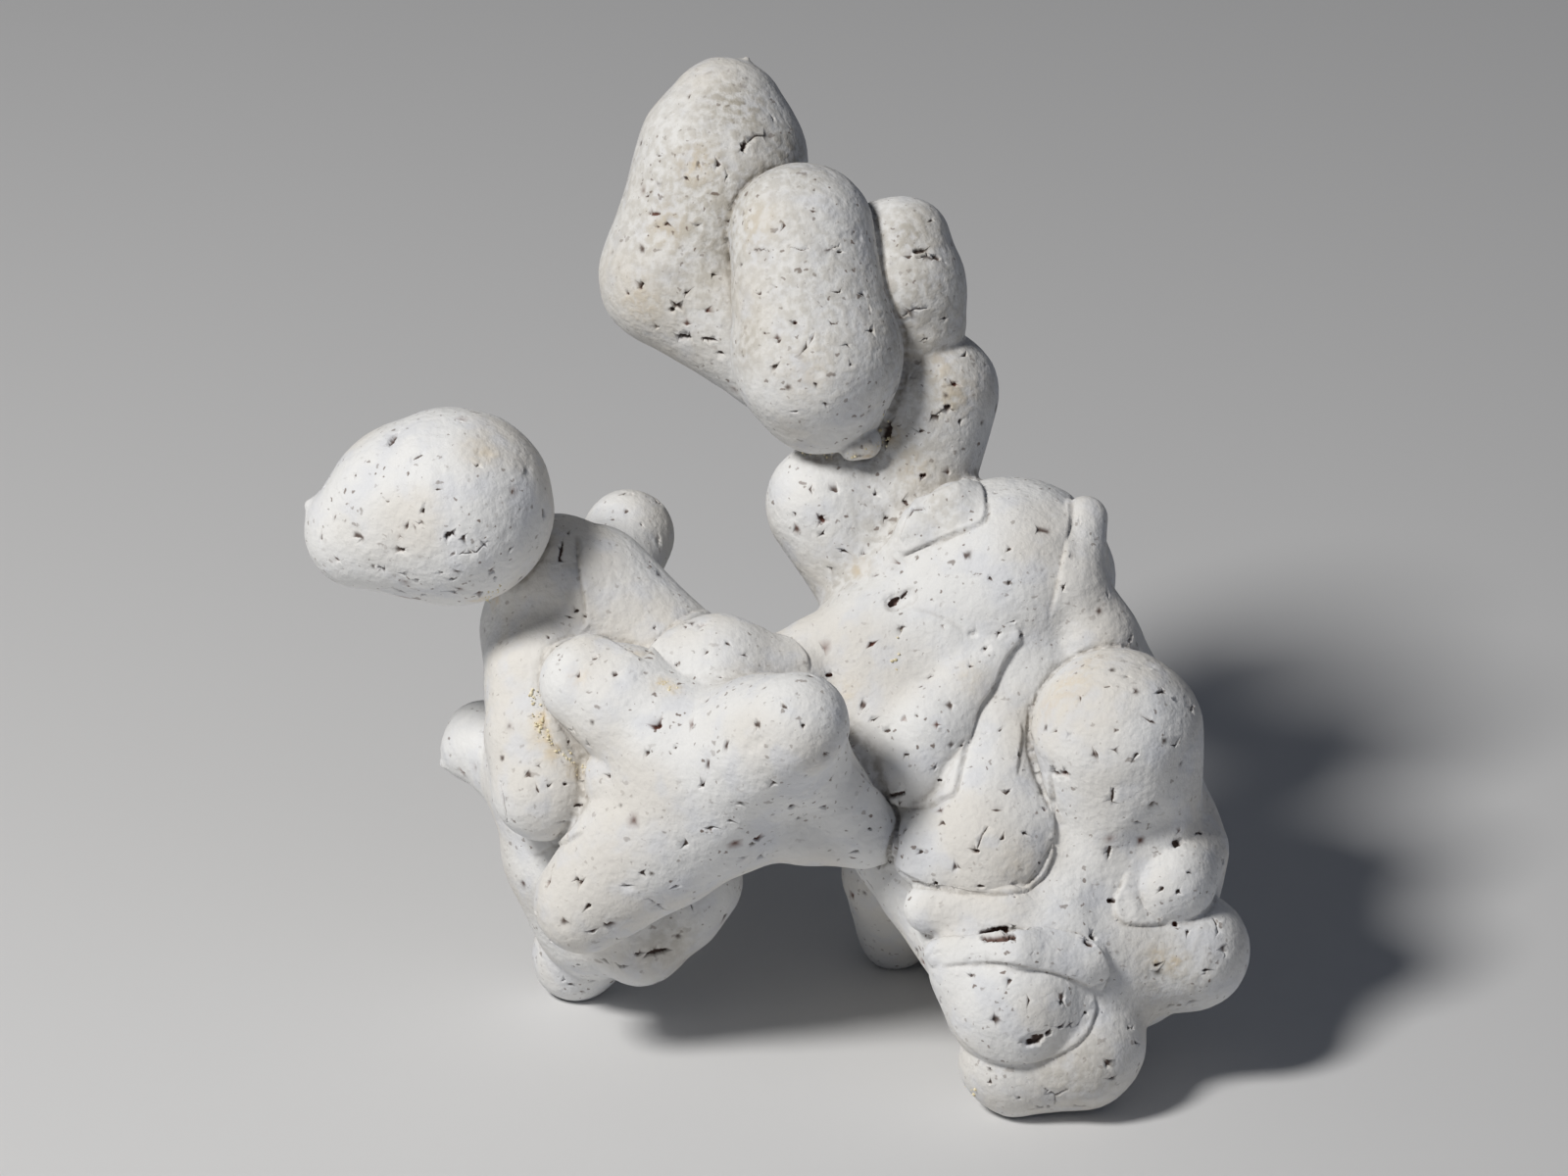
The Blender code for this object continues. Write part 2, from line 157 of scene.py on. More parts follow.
# %% Lobes of the neck and the fingers
FINGER_LOBES = (
    ("neck", 1.0, 4.0, 1.0, ((10.5, 0, -6, 6.5), (4.4, 8.5, -5, 6.3))),
    ("neck_right", 1.0, 3.0, 2.0, ((11.5, 1, -6, 6), (13.3, 10, -6, 6.0),
                                   (15.5, 20, -5, 6.4))),
    ("right_finger", 1.0, 0.8, 0.15, ((13.6, 27.5, -2.6, 5.0), (12.8, 31, -1.6, 5.7),
                                     (12.4, 35.3, -1.6, 4.4), (10.4, 35.2, -2.4, 4.4))),
    ("upper_left", 1.0, 4.0, 0.2, ((9, 10, -7, 5.0), (8, 19, -7, 5.2), (0, 24, -8, 6.4),
                                   (-11, 32, -9, 7.6), (-6.4, 43.3, -9, 8.7),
                                   (-6.0, 48.1, -9, 6.1))),
    ("beak", 1.0, 1.5, 0.3, ((-4.9, 50.8, -9, 2.4), (-3.8, 54.0, -9, 0.35))),
    ("middle_finger", 1.0, 0.6, 0.12, ((3.8, 20.8, 0.5, 7.2), (3.4, 23.8, 2, 8.6),
                                      (1.8, 36, 1, 7.5))),
    ("pebble", 1.0, 0.3, 0.15, ((7.0, 14.3, 1.6, 1.4), (8.2, 14.8, 1.2, 1.7))),
)
print(len(FINGER_LOBES), "lobes in the neck and fingers")

# %% [markdown]
# On the left an arm rises to an egg, which only just touches it. Its neighbours behind show
# past its edges, so they are laid out too.

# %% Lobes of the arm and the egg
ARM_LOBES = (
    ("arm", 1.0, 4.0, 1.0, ((-23, 0.8, -3, 6.8), (-23.8, -4, -5, 7.0),
                            (-23.3, -11, -6, 7.1), (-22.8, -20, -7, 7.2),
                            (-21, -27, -9, 7.5), (-19, -33, -12, 6.8))),
    ("arm_back", 1.0, 3.0, 0.5, ((-21, -16, -11, 6), (-18, -19, -15.5, 6.2))),
    ("upper_arm", 1.0, 1.5, 0.3, ((-5.5, -12.2, -3, 6.3), (-13, -7.1, -3, 6.8),
                                  (-20.0, -0.6, -3.5, 7.2))),
    ("behind_lobe", 1.0, 1.5, 0.15, ((-18, -1, -10, 4), (-16, 5.2, -17, 4.8))),
    ("back_left", 1.0, 2.0, 0.4, ((-25.5, -19, -10, 5.3), (-30.5, -15.6, -14, 4.2))),
    ("back_left_tip", 1.0, 1.5, 0.5, ((-32.5, -17, -14, 2.2), (-34.6, -17.9, -14, 0.5))),
    ("egg", 1.0, 0.3, 0.15, ((-33.6, 8.4, 6, 10.2), (-38.0, 8.0, 5.5, 8.7),
                            (-42.8, 6.0, 5, 6.1))),
    ("egg_nub", 1.0, 0.4, 0.2, ((-46.4, 7.6, 5, 2.2), (-48.2, 8.4, 5, 0.7))),
)
print(len(ARM_LOBES), "lobes in the arm and egg")

# %% [markdown]
# In front lies a fat roll that runs from a heel at the lower left up to a blunt nose, and
# bridges the gap to the body. The feet come last: two reach down at the left and the back, and
# the third is the lowest lobe of the body.

# %% Lobes of the roll and the feet
ROLL_LOBES = (
    ("hanging_left", 1.0, 2.5, 0.12, ((-24.4, -9, 0, 6.0), (-24.4, -15, 1.2, 6.0),
                                     (-24.6, -20.3, 3, 5.3))),
    ("heel", 1.0, 4.0, 0.15, ((-8, -20, 6, 8.0), (-13, -25, 5, 7.8), (-20.3, -32, 3, 5.3))),
    ("knob", 1.0, 3.0, 0.15, ((-12, -15, 7.5, 7.0), (-16, -12, 7, 6.0),
                            (-19.8, -9.8, 6.5, 4.9))),
    ("shoulder_lobe", 1.0, 1.5, 0.12, ((0, -10, 4, 4.4), (-6.5, -8.6, 5.5, 5.7),
                                      (-10.3, -8.8, 5.4, 4.5))),
    ("nose", 1.0, 4.0, 0.3, ((-8, -19.5, 7, 8.4), (-2, -15.9, 14, 7.0),
                             (1.2, -14.1, 19, 5.5))),
    ("roll_cheek", 1.0, 3.0, 0.15, ((-10, -18, 6, 7.5), (-14.6, -19.4, 5.6, 6.0))),
    ("bridge", 1.0, 4.0, 0.2, ((-6, -21.5, 6, 6.5), (2, -23.2, 6, 4.8), (8, -25.1, 5.5, 3.6))),
    ("bridge_web", 1.0, 4.0, 0.3, ((2, -17, 12, 4.2), (8.1, -24.6, 6.5, 3.5))),
)
FOOT_LOBES = (
    ("left_foot", 1.0, 1.5, 0.15, ((-17.5, -32, -12, 5.5), (-21.2, -37.5, -17.6, 4.6))),
    ("under_heel", 1.0, 1.2, 0.15, ((-16, -33, -8, 5.2), (-14.8, -35.6, -9, 4.8),
                                    (-11.0, -32.4, -9, 4.8), (-8.8, -30, -9, 4.6))),
    ("back_foot", 1.0, 4.0, 1.0, ((15, -22, -8, 7), (11.0, -29, -16, 5),
                                  (11.5, -35, -24, 4.0))),
    ("back_foot_side", 1.0, 4.0, 1.0, ((24, -28, -10, 8), (18.5, -34.5, -22.8, 5))),
)
LOBES = BODY_LOBES + FINGER_LOBES + ARM_LOBES + ROLL_LOBES + FOOT_LOBES
print(len(LOBES), "lobes in all")

# %% [markdown]
# Some places sink in where lobes failed to close up: a cave under the bridge, a pit in the
# chin, a dimple on the shoulder and a fold beside the nested lobe. They are rows of beads as
# well, taken away from the stone instead of added to it. Each begins with the width in
# millimetres over which its rim is rounded.

# %% Hollows between the lobes
HOLLOWS = (
    ("cave_under_bridge", 0.5, ((10.2, -29.2, 5.5, 0.8), (12.6, -30.1, 7.2, 0.9))),
    ("pit_in_chin", 0.3, ((24.8, -46.4, 14.6, 0.6), (26.4, -45.6, 15.2, 0.5))),
    ("hollow_on_shoulder", 0.5, ((11.2, -1.5, 6.6, 0.7), (12.6, -0.7, 7.0, 0.8))),
    ("fold_by_nested_lobe", 2.5, ((39.5, -25.0, 12.4, 1.6), (35.2, -28.4, 13.4, 1.8),
                                  (33.6, -32.0, 13.2, 1.7))),
)
print(len(HOLLOWS), "hollows")

# %% [markdown]
# ## The distance to the stone
# Everything that follows asks one question: how far is this point from the skin? Between two
# beads the skin is a cone with round ends, whose distance has a simple formula. Lobes are
# joined by taking the smaller distance, rounded off where two of them cross. That rounding is
# what makes a melted root or a sharp crease.

# %% Distance to one lobe
FASTEST_GROWTH = 0.95
LINK_MELT_MM = 1.0


def real_beads(beads):
    """Beads as laid out from the standpoint, turned into real places and radii."""
    laid = np.array(beads, dtype=float)
    share = 1.0 - laid[:, 2:3] / STANDPOINT_MM
    return np.hstack([laid[:, 0:2] * share, laid[:, 2:3], laid[:, 3:4] * share])


def link_distance(points, start, end, depth_share):
    """Distance to the skin round two neighbouring beads, and how far along them."""
    stretch = np.array([1.0, 1.0, 1.0 / depth_share])
    first = start[:3] * stretch
    line = end[:3] * stretch - first
    length = max(float(np.linalg.norm(line)), 1e-6)
    unit = line / length
    fastest = FASTEST_GROWTH * length
    growth = float(np.clip(end[3] - start[3], -fastest, fastest))
    slope = growth / math.sqrt(length * length - growth * growth)
    offset = points * stretch - first
    along = offset @ unit
    away = np.sqrt(np.maximum((offset * offset).sum(axis=1) - along * along, 0.0))
    share = np.clip((along + away * slope) / length, 0.0, 1.0)
    gap = offset - share[:, None] * line
    reach = np.sqrt((gap * gap).sum(axis=1)) + 1e-9
    steep = np.sqrt(((gap / reach[:, None] * stretch) ** 2).sum(axis=1))
    return (reach - start[3] - share * growth) / steep, share


def melted(first, second, width):
    """The lower of two distances, rounded off where they cross."""
    close = np.maximum(width - np.abs(first - second), 0.0) / width
    return np.minimum(first, second) - close * close * width * 0.25


def eased(values, low, high):
    """Nought up to the low value, one from the high value on, and a smooth climb between."""
    share = np.clip((values - low) / (high - low), 0.0, 1.0)
    return share * share * (3.0 - 2.0 * share)


def lobe_distance(points, depth_share, melt, crease, row):
    """Distance to one lobe, and the width over which it melts into the stone."""
    links = len(row) - 1
    distance, along = link_distance(points, row[0], row[1], depth_share)
    along = along / links
    for index in range(1, links):
        other, share = link_distance(points, row[index], row[index + 1], depth_share)
        along = np.where(other < distance, (index + share) / links, along)
        distance = melted(distance, other, LINK_MELT_MM)
    return distance, melt + (crease - melt) * eased(along, 0.0, 1.0)


print("first bead as seen", BODY_LOBES[0][4][0], "and real", real_beads(BODY_LOBES[0][4])[0].round(2))

# %% [markdown]
# The whole stone is its lobes melted together, less its hollows. A lobe is only asked about the
# points near it, which makes the sums much quicker.

# %% Distance to the whole stone
REACH_MM = 6.0
FAR_MM = 50.0


def beads_near(points, row, reach):
    """The points that lie within reach of the box round a row of beads."""
    low = (row[:, :3] - row[:, 3:4]).min(axis=0) - reach
    high = (row[:, :3] + row[:, 3:4]).max(axis=0) + reach
    return np.nonzero(((points > low) & (points < high)).all(axis=1))[0]


LAID_LOBES = [(share, melt, crease, real_beads(beads)) for _, share, melt, crease, beads in LOBES]
LAID_HOLLOWS = [(width, real_beads(beads)) for _, width, beads in HOLLOWS]


def stone_distance(points):
    """Distance from each point to the skin of the stone, negative inside."""
    total = np.full(len(points), FAR_MM)
    for share, melt, crease, row in LAID_LOBES:
        near = beads_near(points, row, REACH_MM)
        distance, width = lobe_distance(points[near], share, melt, crease, row)
        total[near] = melted(total[near], distance, width)
    for width, row in LAID_HOLLOWS:
        near = beads_near(points, row, REACH_MM)
        links = [link_distance(points[near], start, end, 1.0)[0]
                 for start, end in zip(row[:-1], row[1:])]
        total[near] = -melted(-total[near], np.minimum.reduce(links), width)
    return total


print("distance at the middle of the body", stone_distance(np.array([[25.0, -20.0, 0.0]])).round(1))

# %% [markdown]
# ## The skin
# Blender can fuse overlapping balls into one closed skin with its voxel remesh. So balls are
# laid along every row of beads and fused. The result is lumpy, and each of its points is then
# moved along the slope of the distance until it lies exactly on the stone. One gentle
# smoothing in between evens out the cells.

# %% Balls fused into one skin
SKIN_CELL_MM = 0.95
BALL_SPACING = 0.4


def lobe_balls(skin, depth_share, row):
    """Balls laid closely along one row of beads, added to the skin."""
    work = bmesh.new()
    for start, end in zip(row[:-1], row[1:]):
        gap = float(np.linalg.norm(end[:3] - start[:3]))
        count = max(2, int(math.ceil(gap / (BALL_SPACING * min(start[3], end[3])))) + 1)
        for share in np.linspace(0.0, 1.0, count):
            bead = start + share * (end - start)
            made = bmesh.ops.create_icosphere(work, subdivisions=2, radius=bead[3])
            bmesh.ops.scale(work, vec=(1, 1, depth_share), verts=made["verts"])
            bmesh.ops.translate(work, vec=Vector(bead[:3]), verts=made["verts"])
    mesh = bpy.data.meshes.new("balls")
    work.to_mesh(mesh)
    work.free()
    skin.from_mesh(mesh)
    bpy.data.meshes.remove(mesh)


def fused_skin():
    skin = bmesh.new()
    for share, _, _, row in LAID_LOBES:
        lobe_balls(skin, share, row)
    mesh = bpy.data.meshes.new("skin")
    skin.to_mesh(mesh)
    skin.free()
    balls = bpy.data.objects.new("balls", mesh)
    bpy.context.scene.collection.objects.link(balls)
    fuse = balls.modifiers.new("fuse", "REMESH")
    fuse.mode = "VOXEL"
    fuse.voxel_size = SKIN_CELL_MM
    graph = bpy.context.evaluated_depsgraph_get()
    fused = bpy.data.meshes.new_from_object(balls.evaluated_get(graph), depsgraph=graph)
    bpy.data.objects.remove(balls, do_unlink=True)
    return fused


stone = fused_skin()
print("fused skin:", len(stone.vertices), "points")

# %% [markdown]
# Blender hands over the points of a mesh as one flat list, which numpy turns into a table. Four
# probes round a point give the distance there and the way in which it grows, and a few moves
# against that slope bring the point onto the stone.

# %% Moving the skin onto the stone
PROBE_STEP_MM = 0.02
LEAST_SLOPE = 0.05
LONGEST_MOVE_MM = 1.5


def mesh_points(mesh):
    flat = np.empty(len(mesh.vertices) * 3)
    mesh.vertices.foreach_get("co", flat)
    return flat.reshape(-1, 3)


def set_mesh_points(mesh, points):
    mesh.vertices.foreach_set("co", np.ascontiguousarray(points, dtype=float).ravel())
    mesh.update()


def distance_and_slope(points, step):
    """Distance at each point, and the direction in which it grows."""
    corners = np.array([[1, 1, 1], [1, -1, -1], [-1, 1, -1], [-1, -1, 1]], dtype=float)
    parts = [stone_distance(points + step * corner) for corner in corners]
    slope = sum(part[:, None] * corner for part, corner in zip(parts, corners))
    return sum(parts) / 4.0, slope / (4.0 * step)


def drawn_onto_stone(points, rounds):
    for _ in range(rounds):
        height, slope = distance_and_slope(points, PROBE_STEP_MM)
        size = np.maximum((slope * slope).sum(axis=1), LEAST_SLOPE)
        move = (height / size)[:, None] * slope
        reach = np.sqrt((move * move).sum(axis=1))[:, None]
        points = points - move * np.minimum(1.0, LONGEST_MOVE_MM / np.maximum(reach, 1e-9))
    return points


print("points of the skin:", mesh_points(stone).shape)

# %% [markdown]
# The fused balls can leave a crumb of skin that isn't joined to the rest, so only the largest
# island of points is kept. An island is found by walking from edge to edge.

# %% One smooth skin
def smoothed(mesh, factor):
    work = bmesh.new()
    work.from_mesh(mesh)
    bmesh.ops.smooth_vert(work, verts=work.verts, factor=factor,
                          use_axis_x=True, use_axis_y=True, use_axis_z=True)
    work.to_mesh(mesh)
    work.free()


def keep_largest(mesh):
    """Drops any crumb of skin that isn't joined to the nodule."""
    work = bmesh.new()
    work.from_mesh(mesh)
    unseen = set(work.verts)
    islands = []
    while unseen:
        front = [unseen.pop()]
        island = list(front)
        while front:
            vert = front.pop()
            for edge in vert.link_edges:
                other = edge.other_vert(vert)
                if other in unseen:
                    unseen.remove(other)
                    island.append(other)
                    front.append(other)
        islands.append(island)
    islands.sort(key=len)
    for island in islands[:-1]:
        bmesh.ops.delete(work, geom=island, context="VERTS")
    bmesh.ops.triangulate(work, faces=work.faces[:])
    work.to_mesh(mesh)
    work.free()


keep_largest(stone)
set_mesh_points(stone, drawn_onto_stone(mesh_points(stone), 3))
smoothed(stone, 0.5)
set_mesh_points(stone, drawn_onto_stone(mesh_points(stone), 2))
print("skin:", len(stone.vertices), "points", len(stone.polygons), "triangles")

# %% [markdown]
# ## Pits
# Gas and roots of plants left pits in the chalky skin, from pinholes to slots 4 mm long. The
# larger ones on the show side are listed one by one, as they are what makes this stone itself:
# (across, up, length, width, turn, rust). Turn is in degrees from level, and rust says how red
# the floor of the pit is. They are grouped by the lobe they lie on.

# %% Pits of the show side
PITS = (
    # On the egg.
    (-40.0, 15.1, 1.9, 0.9, 65, 0.3), (-43.9, 11.6, 0.6, 0.5, 0, 0), (-46.9, 10.4, 0.7, 0.4, 20, 0),
    (-37.4, 13.4, 1.2, 0.3, 30, 0), (-36.9, 7.9, 0.9, 0.7, 60, 0.2), (-40.5, 8.8, 0.5, 0.4, 0, 0),
    (-44.3, 8.4, 0.6, 0.4, 40, 0), (-47.2, 5.1, 0.8, 0.4, 80, 0.2), (-43.5, 5.2, 1.0, 0.4, -10, 0),
    (-39.1, 3.8, 1.1, 0.6, 15, 0.2), (-34.3, 5.4, 1.2, 0.7, 35, 0.1), (-32.7, 5.2, 0.7, 0.4, 60, 0),
    (-33.9, 0.9, 0.8, 0.5, 0, 0.2), (-35.0, 1.5, 0.6, 0.4, 20, 0), (-37.5, 0.8, 0.6, 0.4, 0, 0),
    (-41.1, 2.0, 1.0, 0.4, -20, 0.2), (-33.9, -0.4, 0.9, 0.4, -10, 0),
    (-31.1, -0.5, 1.0, 0.6, 10, 1), (-36.8, -0.7, 0.7, 0.4, 0, 0), (-24.5, 7.6, 1.1, 0.5, 85, 1),
    (-31.3, 12.5, 0.6, 0.4, 30, 0), (-46.0, 7.2, 0.6, 0.3, 0, 0), (-42.8, 13.0, 0.5, 0.3, 50, 0),
    (-45.6, 2.9, 0.9, 0.4, -35, 0.3), (-39.2, -0.3, 0.8, 0.5, -20, 0.3),
    (-35.4, 10.1, 0.5, 0.3, 10, 0), (-28.0, 4.0, 0.5, 0.3, 70, 0), (-29.5, 1.0, 0.6, 0.4, 20, 0.3),
    (-33.0, 17.0, 0.5, 0.3, 0, 0), (-38.6, 6.2, 0.6, 0.4, -20, 0),
    # On the arm and the lobe behind it.
    (-22.1, 5.6, 0.6, 0.5, 0, 0), (-22.8, 3.6, 2.0, 0.4, 78, 0.2), (-21.2, -2.4, 0.8, 0.5, 20, 0.2),
    (-21.9, -3.0, 0.5, 0.4, 0, 0), (-20.4, -2.9, 0.5, 0.3, 40, 0), (-17.5, 7.1, 0.6, 0.4, -20, 0.3),
    (-12.7, 4.9, 0.8, 0.4, 60, 0.2), (-16.0, 7.9, 0.6, 0.3, 0, 0), (-14.5, 6.5, 0.5, 0.3, -30, 0),
    (-19.6, 1.4, 0.4, 0.3, 0, 0), (-13.2, -4.0, 0.5, 0.3, 30, 0), (-10.0, -4.0, 0.6, 0.4, -20, 0),
    (-7.9, -6.4, 0.6, 0.4, 10, 0), (-5.8, -5.5, 0.7, 0.4, 20, 0), (-4.0, -6.8, 0.6, 0.3, -10, 0),
    (-6.5, -9.0, 0.5, 0.4, 0, 0), (-11.0, -7.8, 0.6, 0.4, 45, 0), (-24.0, -5.0, 0.5, 0.3, 80, 0),
    # On the left side of the roll.
    (-17.2, -8.8, 0.9, 0.8, 0, 0.6), (-19.3, -7.2, 0.7, 0.4, 20, 0.2),
    (-21.0, -9.0, 0.6, 0.4, 50, 0), (-21.5, -14.5, 0.7, 0.5, 0, 0.2),
    (-20.0, -16.0, 0.6, 0.5, 20, 0.1), (-18.0, -19.2, 0.8, 0.7, 0, 0.3),
    (-22.3, -20.0, 0.7, 0.4, 10, 0.2), (-24.0, -20.2, 0.6, 0.4, -15, 0),
    (-21.0, -22.2, 1.0, 0.4, 15, 0.2), (-25.2, -20.6, 0.9, 0.3, -70, 0),
    (-22.5, -23.8, 0.5, 0.3, 0, 0), (-20.4, -24.5, 0.6, 0.4, 30, 0.2),
    (-26.2, -19.0, 0.6, 0.3, -60, 0),
    # On the front of the roll.
    (-13.0, -14.1, 1.5, 1.0, 20, 1), (-8.4, -20.2, 0.8, 0.7, 0, 0.4),
    (-11.1, -16.3, 0.5, 0.4, 0, 0), (-24.1, -30.0, 0.8, 0.7, 0, 1), (4.0, -22.3, 1.0, 0.4, 15, 0.2),
    (0.7, -22.6, 0.8, 0.5, -20, 0.1), (1.5, -23.5, 0.6, 0.4, 30, 0),
    (-2.8, -25.7, 0.9, 0.5, -25, 1), (-4.1, -27.5, 0.5, 0.4, 0, 0.2),
    (-2.4, -27.4, 0.7, 0.4, 20, 0), (8.8, -24.6, 0.6, 0.5, 0, 0.2), (7.4, -26.9, 0.8, 0.6, 10, 0.3),
    (-14.0, -16.8, 0.7, 0.5, 10, 0.1), (-6.0, -16.0, 0.8, 0.5, -30, 0.1),
    (-3.0, -14.0, 0.7, 0.4, -40, 0), (0.0, -12.0, 0.9, 0.5, -20, 0.1), (2.0, -14.0, 0.7, 0.4, 0, 0),
    (4.5, -17.0, 0.6, 0.4, 60, 0), (-7.5, -24.5, 0.9, 0.4, 25, 0.1),
    (-10.0, -26.2, 0.8, 0.4, 20, 0.1), (-5.5, -23.8, 0.7, 0.4, -10, 0.1),
    (-1.0, -20.0, 0.8, 0.4, 10, 0), (-21.0, -29.9, 1.2, 0.8, -55, 0.3),
    (-20.0, -32.5, 0.9, 0.6, 30, 0.2), (-16.0, -30.5, 0.7, 0.5, 0, 0.1),
    (-22.5, -34.0, 0.7, 0.5, 0, 0.1), (-18.0, -34.5, 0.9, 0.4, 10, 0.2),
    (-14.5, -29.2, 0.8, 0.4, -20, 0.1), (-11.0, -30.5, 0.7, 0.4, 15, 0.1),
    (-9.5, -32.5, 0.6, 0.4, 0, 0),
    # On under the roll.
    (-12.8, -37.2, 2.6, 0.7, 12, 0.3), (-16.6, -38.7, 0.9, 0.6, 0, 0.2),
    (-15.0, -37.5, 0.8, 0.5, 0, 0.1), (-21.0, -38.5, 0.6, 0.4, 0, 0.1),
    (-19.5, -40.0, 0.5, 0.4, 0, 0), (-22.5, -40.0, 0.6, 0.4, 20, 0),
    (-18.3, -38.0, 0.7, 0.4, -15, 0.2),
    # On the left finger.
    (-4.1, 45.1, 1.5, 0.8, 70, 0.2), (-6.7, 43.2, 0.9, 0.6, 30, 0), (-12.8, 44.1, 0.5, 0.3, 0, 0),
    (-9.7, 50.3, 0.6, 0.4, 40, 0.1), (-13.3, 38.2, 1.5, 0.5, 0, 0.8),
    (-12.0, 37.2, 0.8, 0.4, 30, 0.3), (-13.1, 36.9, 0.6, 0.4, 0, 0.2),
    (-14.6, 34.6, 0.6, 0.5, 0, 0.2), (-11.3, 31.9, 0.5, 0.4, 0, 0), (-7.2, 32.0, 0.6, 0.5, 0, 0.2),
    (-14.7, 30.8, 1.3, 0.9, 70, 0.4), (-11.3, 28.5, 1.5, 1.0, 50, 0.2),
    (-10.0, 30.1, 0.6, 0.4, 10, 0), (-10.3, 25.6, 2.0, 0.8, 0, 0.2),
    (-7.7, 25.4, 1.6, 0.5, -5, 0.2), (-8.8, 37.0, 0.6, 0.4, 20, 0), (-10.0, 41.8, 0.7, 0.4, -30, 0),
    (-16.0, 30.0, 0.6, 0.4, 0, 0.3), (-13.0, 26.5, 0.7, 0.4, 20, 0.1),
    (-5.8, 42.0, 0.6, 0.4, 60, 0), (-1.0, 48.0, 0.6, 0.4, -40, 0), (-6.5, 24.0, 0.8, 0.5, -20, 0.1),
    (-14.0, 40.0, 0.5, 0.3, 0, 0),
    # On the middle finger.
    (-0.9, 30.7, 0.6, 0.4, 0, 0), (1.1, 27.1, 0.7, 0.6, 0, 0.7), (-1.1, 22.6, 1.0, 0.7, 0, 0),
    (-0.6, 25.1, 0.6, 0.4, 20, 0), (2.2, 24.5, 0.6, 0.5, 0, 0), (2.9, 25.6, 0.6, 0.4, 0, 0),
    (5.7, 34.3, 0.7, 0.3, 0, 0), (5.6, 30.2, 0.6, 0.4, 0, 0), (8.9, 26.3, 0.8, 0.5, 20, 0.1),
    (0.3, 20.5, 0.6, 0.3, 30, 0), (3.2, 20.8, 0.6, 0.3, -20, 0), (-2.0, 26.0, 0.5, 0.3, 0, 0),
    (-2.5, 30.0, 0.6, 0.3, 10, 0), (5.0, 27.0, 0.6, 0.4, 0, 0), (4.2, 18.8, 0.7, 0.3, -30, 0),
    (1.2, 18.0, 0.6, 0.4, 10, 0), (6.8, 22.8, 0.5, 0.3, 60, 0), (8.0, 30.0, 0.5, 0.3, 0, 0),
    (0.0, 37.0, 0.6, 0.4, 20, 0), (3.0, 38.5, 0.6, 0.3, 0, 0), (6.5, 24.8, 0.6, 0.4, -45, 0),
    # On the right finger.
    (13.8, 34.4, 1.6, 0.6, 10, 0.1), (15.5, 33.8, 1.3, 0.5, -20, 0.1),
    (12.8, 33.8, 0.8, 0.4, 30, 0), (16.7, 18.5, 1.0, 0.7, 0, 0.3), (17.4, 20.8, 0.8, 0.5, 0, 1),
    (16.4, 27.5, 0.6, 0.4, 0, 0), (14.5, 25.4, 0.6, 0.4, 0, 0.1), (18.5, 23.8, 0.6, 0.4, 40, 0),
    (13.0, 21.5, 0.5, 0.3, 0, 0), (15.5, 17.5, 1.2, 0.4, -15, 0.1), (14.0, 16.0, 0.8, 0.4, 20, 0.1),
    (18.0, 17.0, 0.7, 0.4, 60, 0), (10.5, 15.9, 2.8, 1.1, 82, 0.2), (10.3, 18.0, 0.8, 0.5, 60, 0.1),
    (15.0, 37.5, 0.5, 0.3, 0, 0),
    # On the neck.
    (5.3, 10.0, 0.8, 0.7, 0, 0.2), (9.3, 9.6, 0.6, 0.5, 0, 0.1), (12.3, 8.8, 0.9, 0.5, -40, 0.2),
    (1.1, 7.6, 0.6, 0.5, 0, 0.1), (3.8, 7.0, 1.3, 1.0, -60, 0.9), (3.9, 5.5, 0.6, 0.5, 0, 0.1),
    (6.0, 3.8, 0.8, 0.6, 0, 0.2), (14.2, 11.5, 1.0, 0.7, 0, 0.9), (10.4, 7.2, 0.7, 0.4, 20, 0.1),
    (6.8, 6.0, 0.5, 0.4, 0, 0), (2.6, 10.0, 0.6, 0.3, 30, 0), (8.0, 3.5, 0.5, 0.4, 0, 0),
    (4.8, 2.0, 0.6, 0.4, 60, 0.1),
    # On the shoulder and the bib.
    (8.9, -5.7, 0.8, 0.5, 40, 1), (4.6, -8.9, 0.9, 0.7, 0, 0.9), (10.5, -14.6, 0.9, 0.4, 10, 0.2),
    (17.0, -11.9, 0.7, 0.4, -30, 0.1), (21.9, -4.6, 0.6, 0.4, 0, 0),
    (20.5, -6.1, 0.7, 0.5, 20, 0.1), (23.5, -3.4, 0.5, 0.4, 0, 0), (24.2, -4.8, 0.6, 0.4, 0, 0.1),
    (11.3, -21.0, 2.5, 0.6, 10, 0.2), (15.9, -19.6, 0.7, 0.5, 0, 0.2),
    (12.0, -4.0, 0.7, 0.4, 20, 0.1), (15.0, -9.0, 0.6, 0.4, 0, 0), (13.5, -13.0, 0.6, 0.3, -20, 0),
    (8.0, -12.0, 0.9, 0.4, -45, 0.2), (9.0, -13.5, 0.6, 0.4, 0, 0), (12.5, -17.0, 0.8, 0.4, 0, 0.1),
    (14.0, -10.0, 0.5, 0.3, 0, 0), (19.0, -8.0, 0.6, 0.4, 0, 0.1), (21.0, -10.0, 0.6, 0.3, 50, 0),
    (18.0, -16.0, 0.5, 0.4, 0, 0), (18.5, 3.4, 0.7, 0.4, 0, 0.1), (23.0, 4.0, 0.6, 0.4, 20, 0.1),
    (26.0, 6.0, 0.5, 0.3, 0, 0), (28.5, 0.0, 0.8, 0.4, 80, 0.1), (21.0, 1.0, 0.6, 0.4, 0, 0),
    # On the tongue.
    (22.8, -20.8, 1.3, 0.4, 35, 0.2), (19.6, -26.9, 1.0, 0.8, 0, 0.4),
    (13.9, -26.9, 0.8, 0.5, 0, 0.2), (21.7, -22.6, 0.6, 0.4, 0, 0.1),
    (16.1, -23.9, 0.6, 0.4, 0, 0.1), (22.3, -25.6, 0.7, 0.4, 20, 0.1),
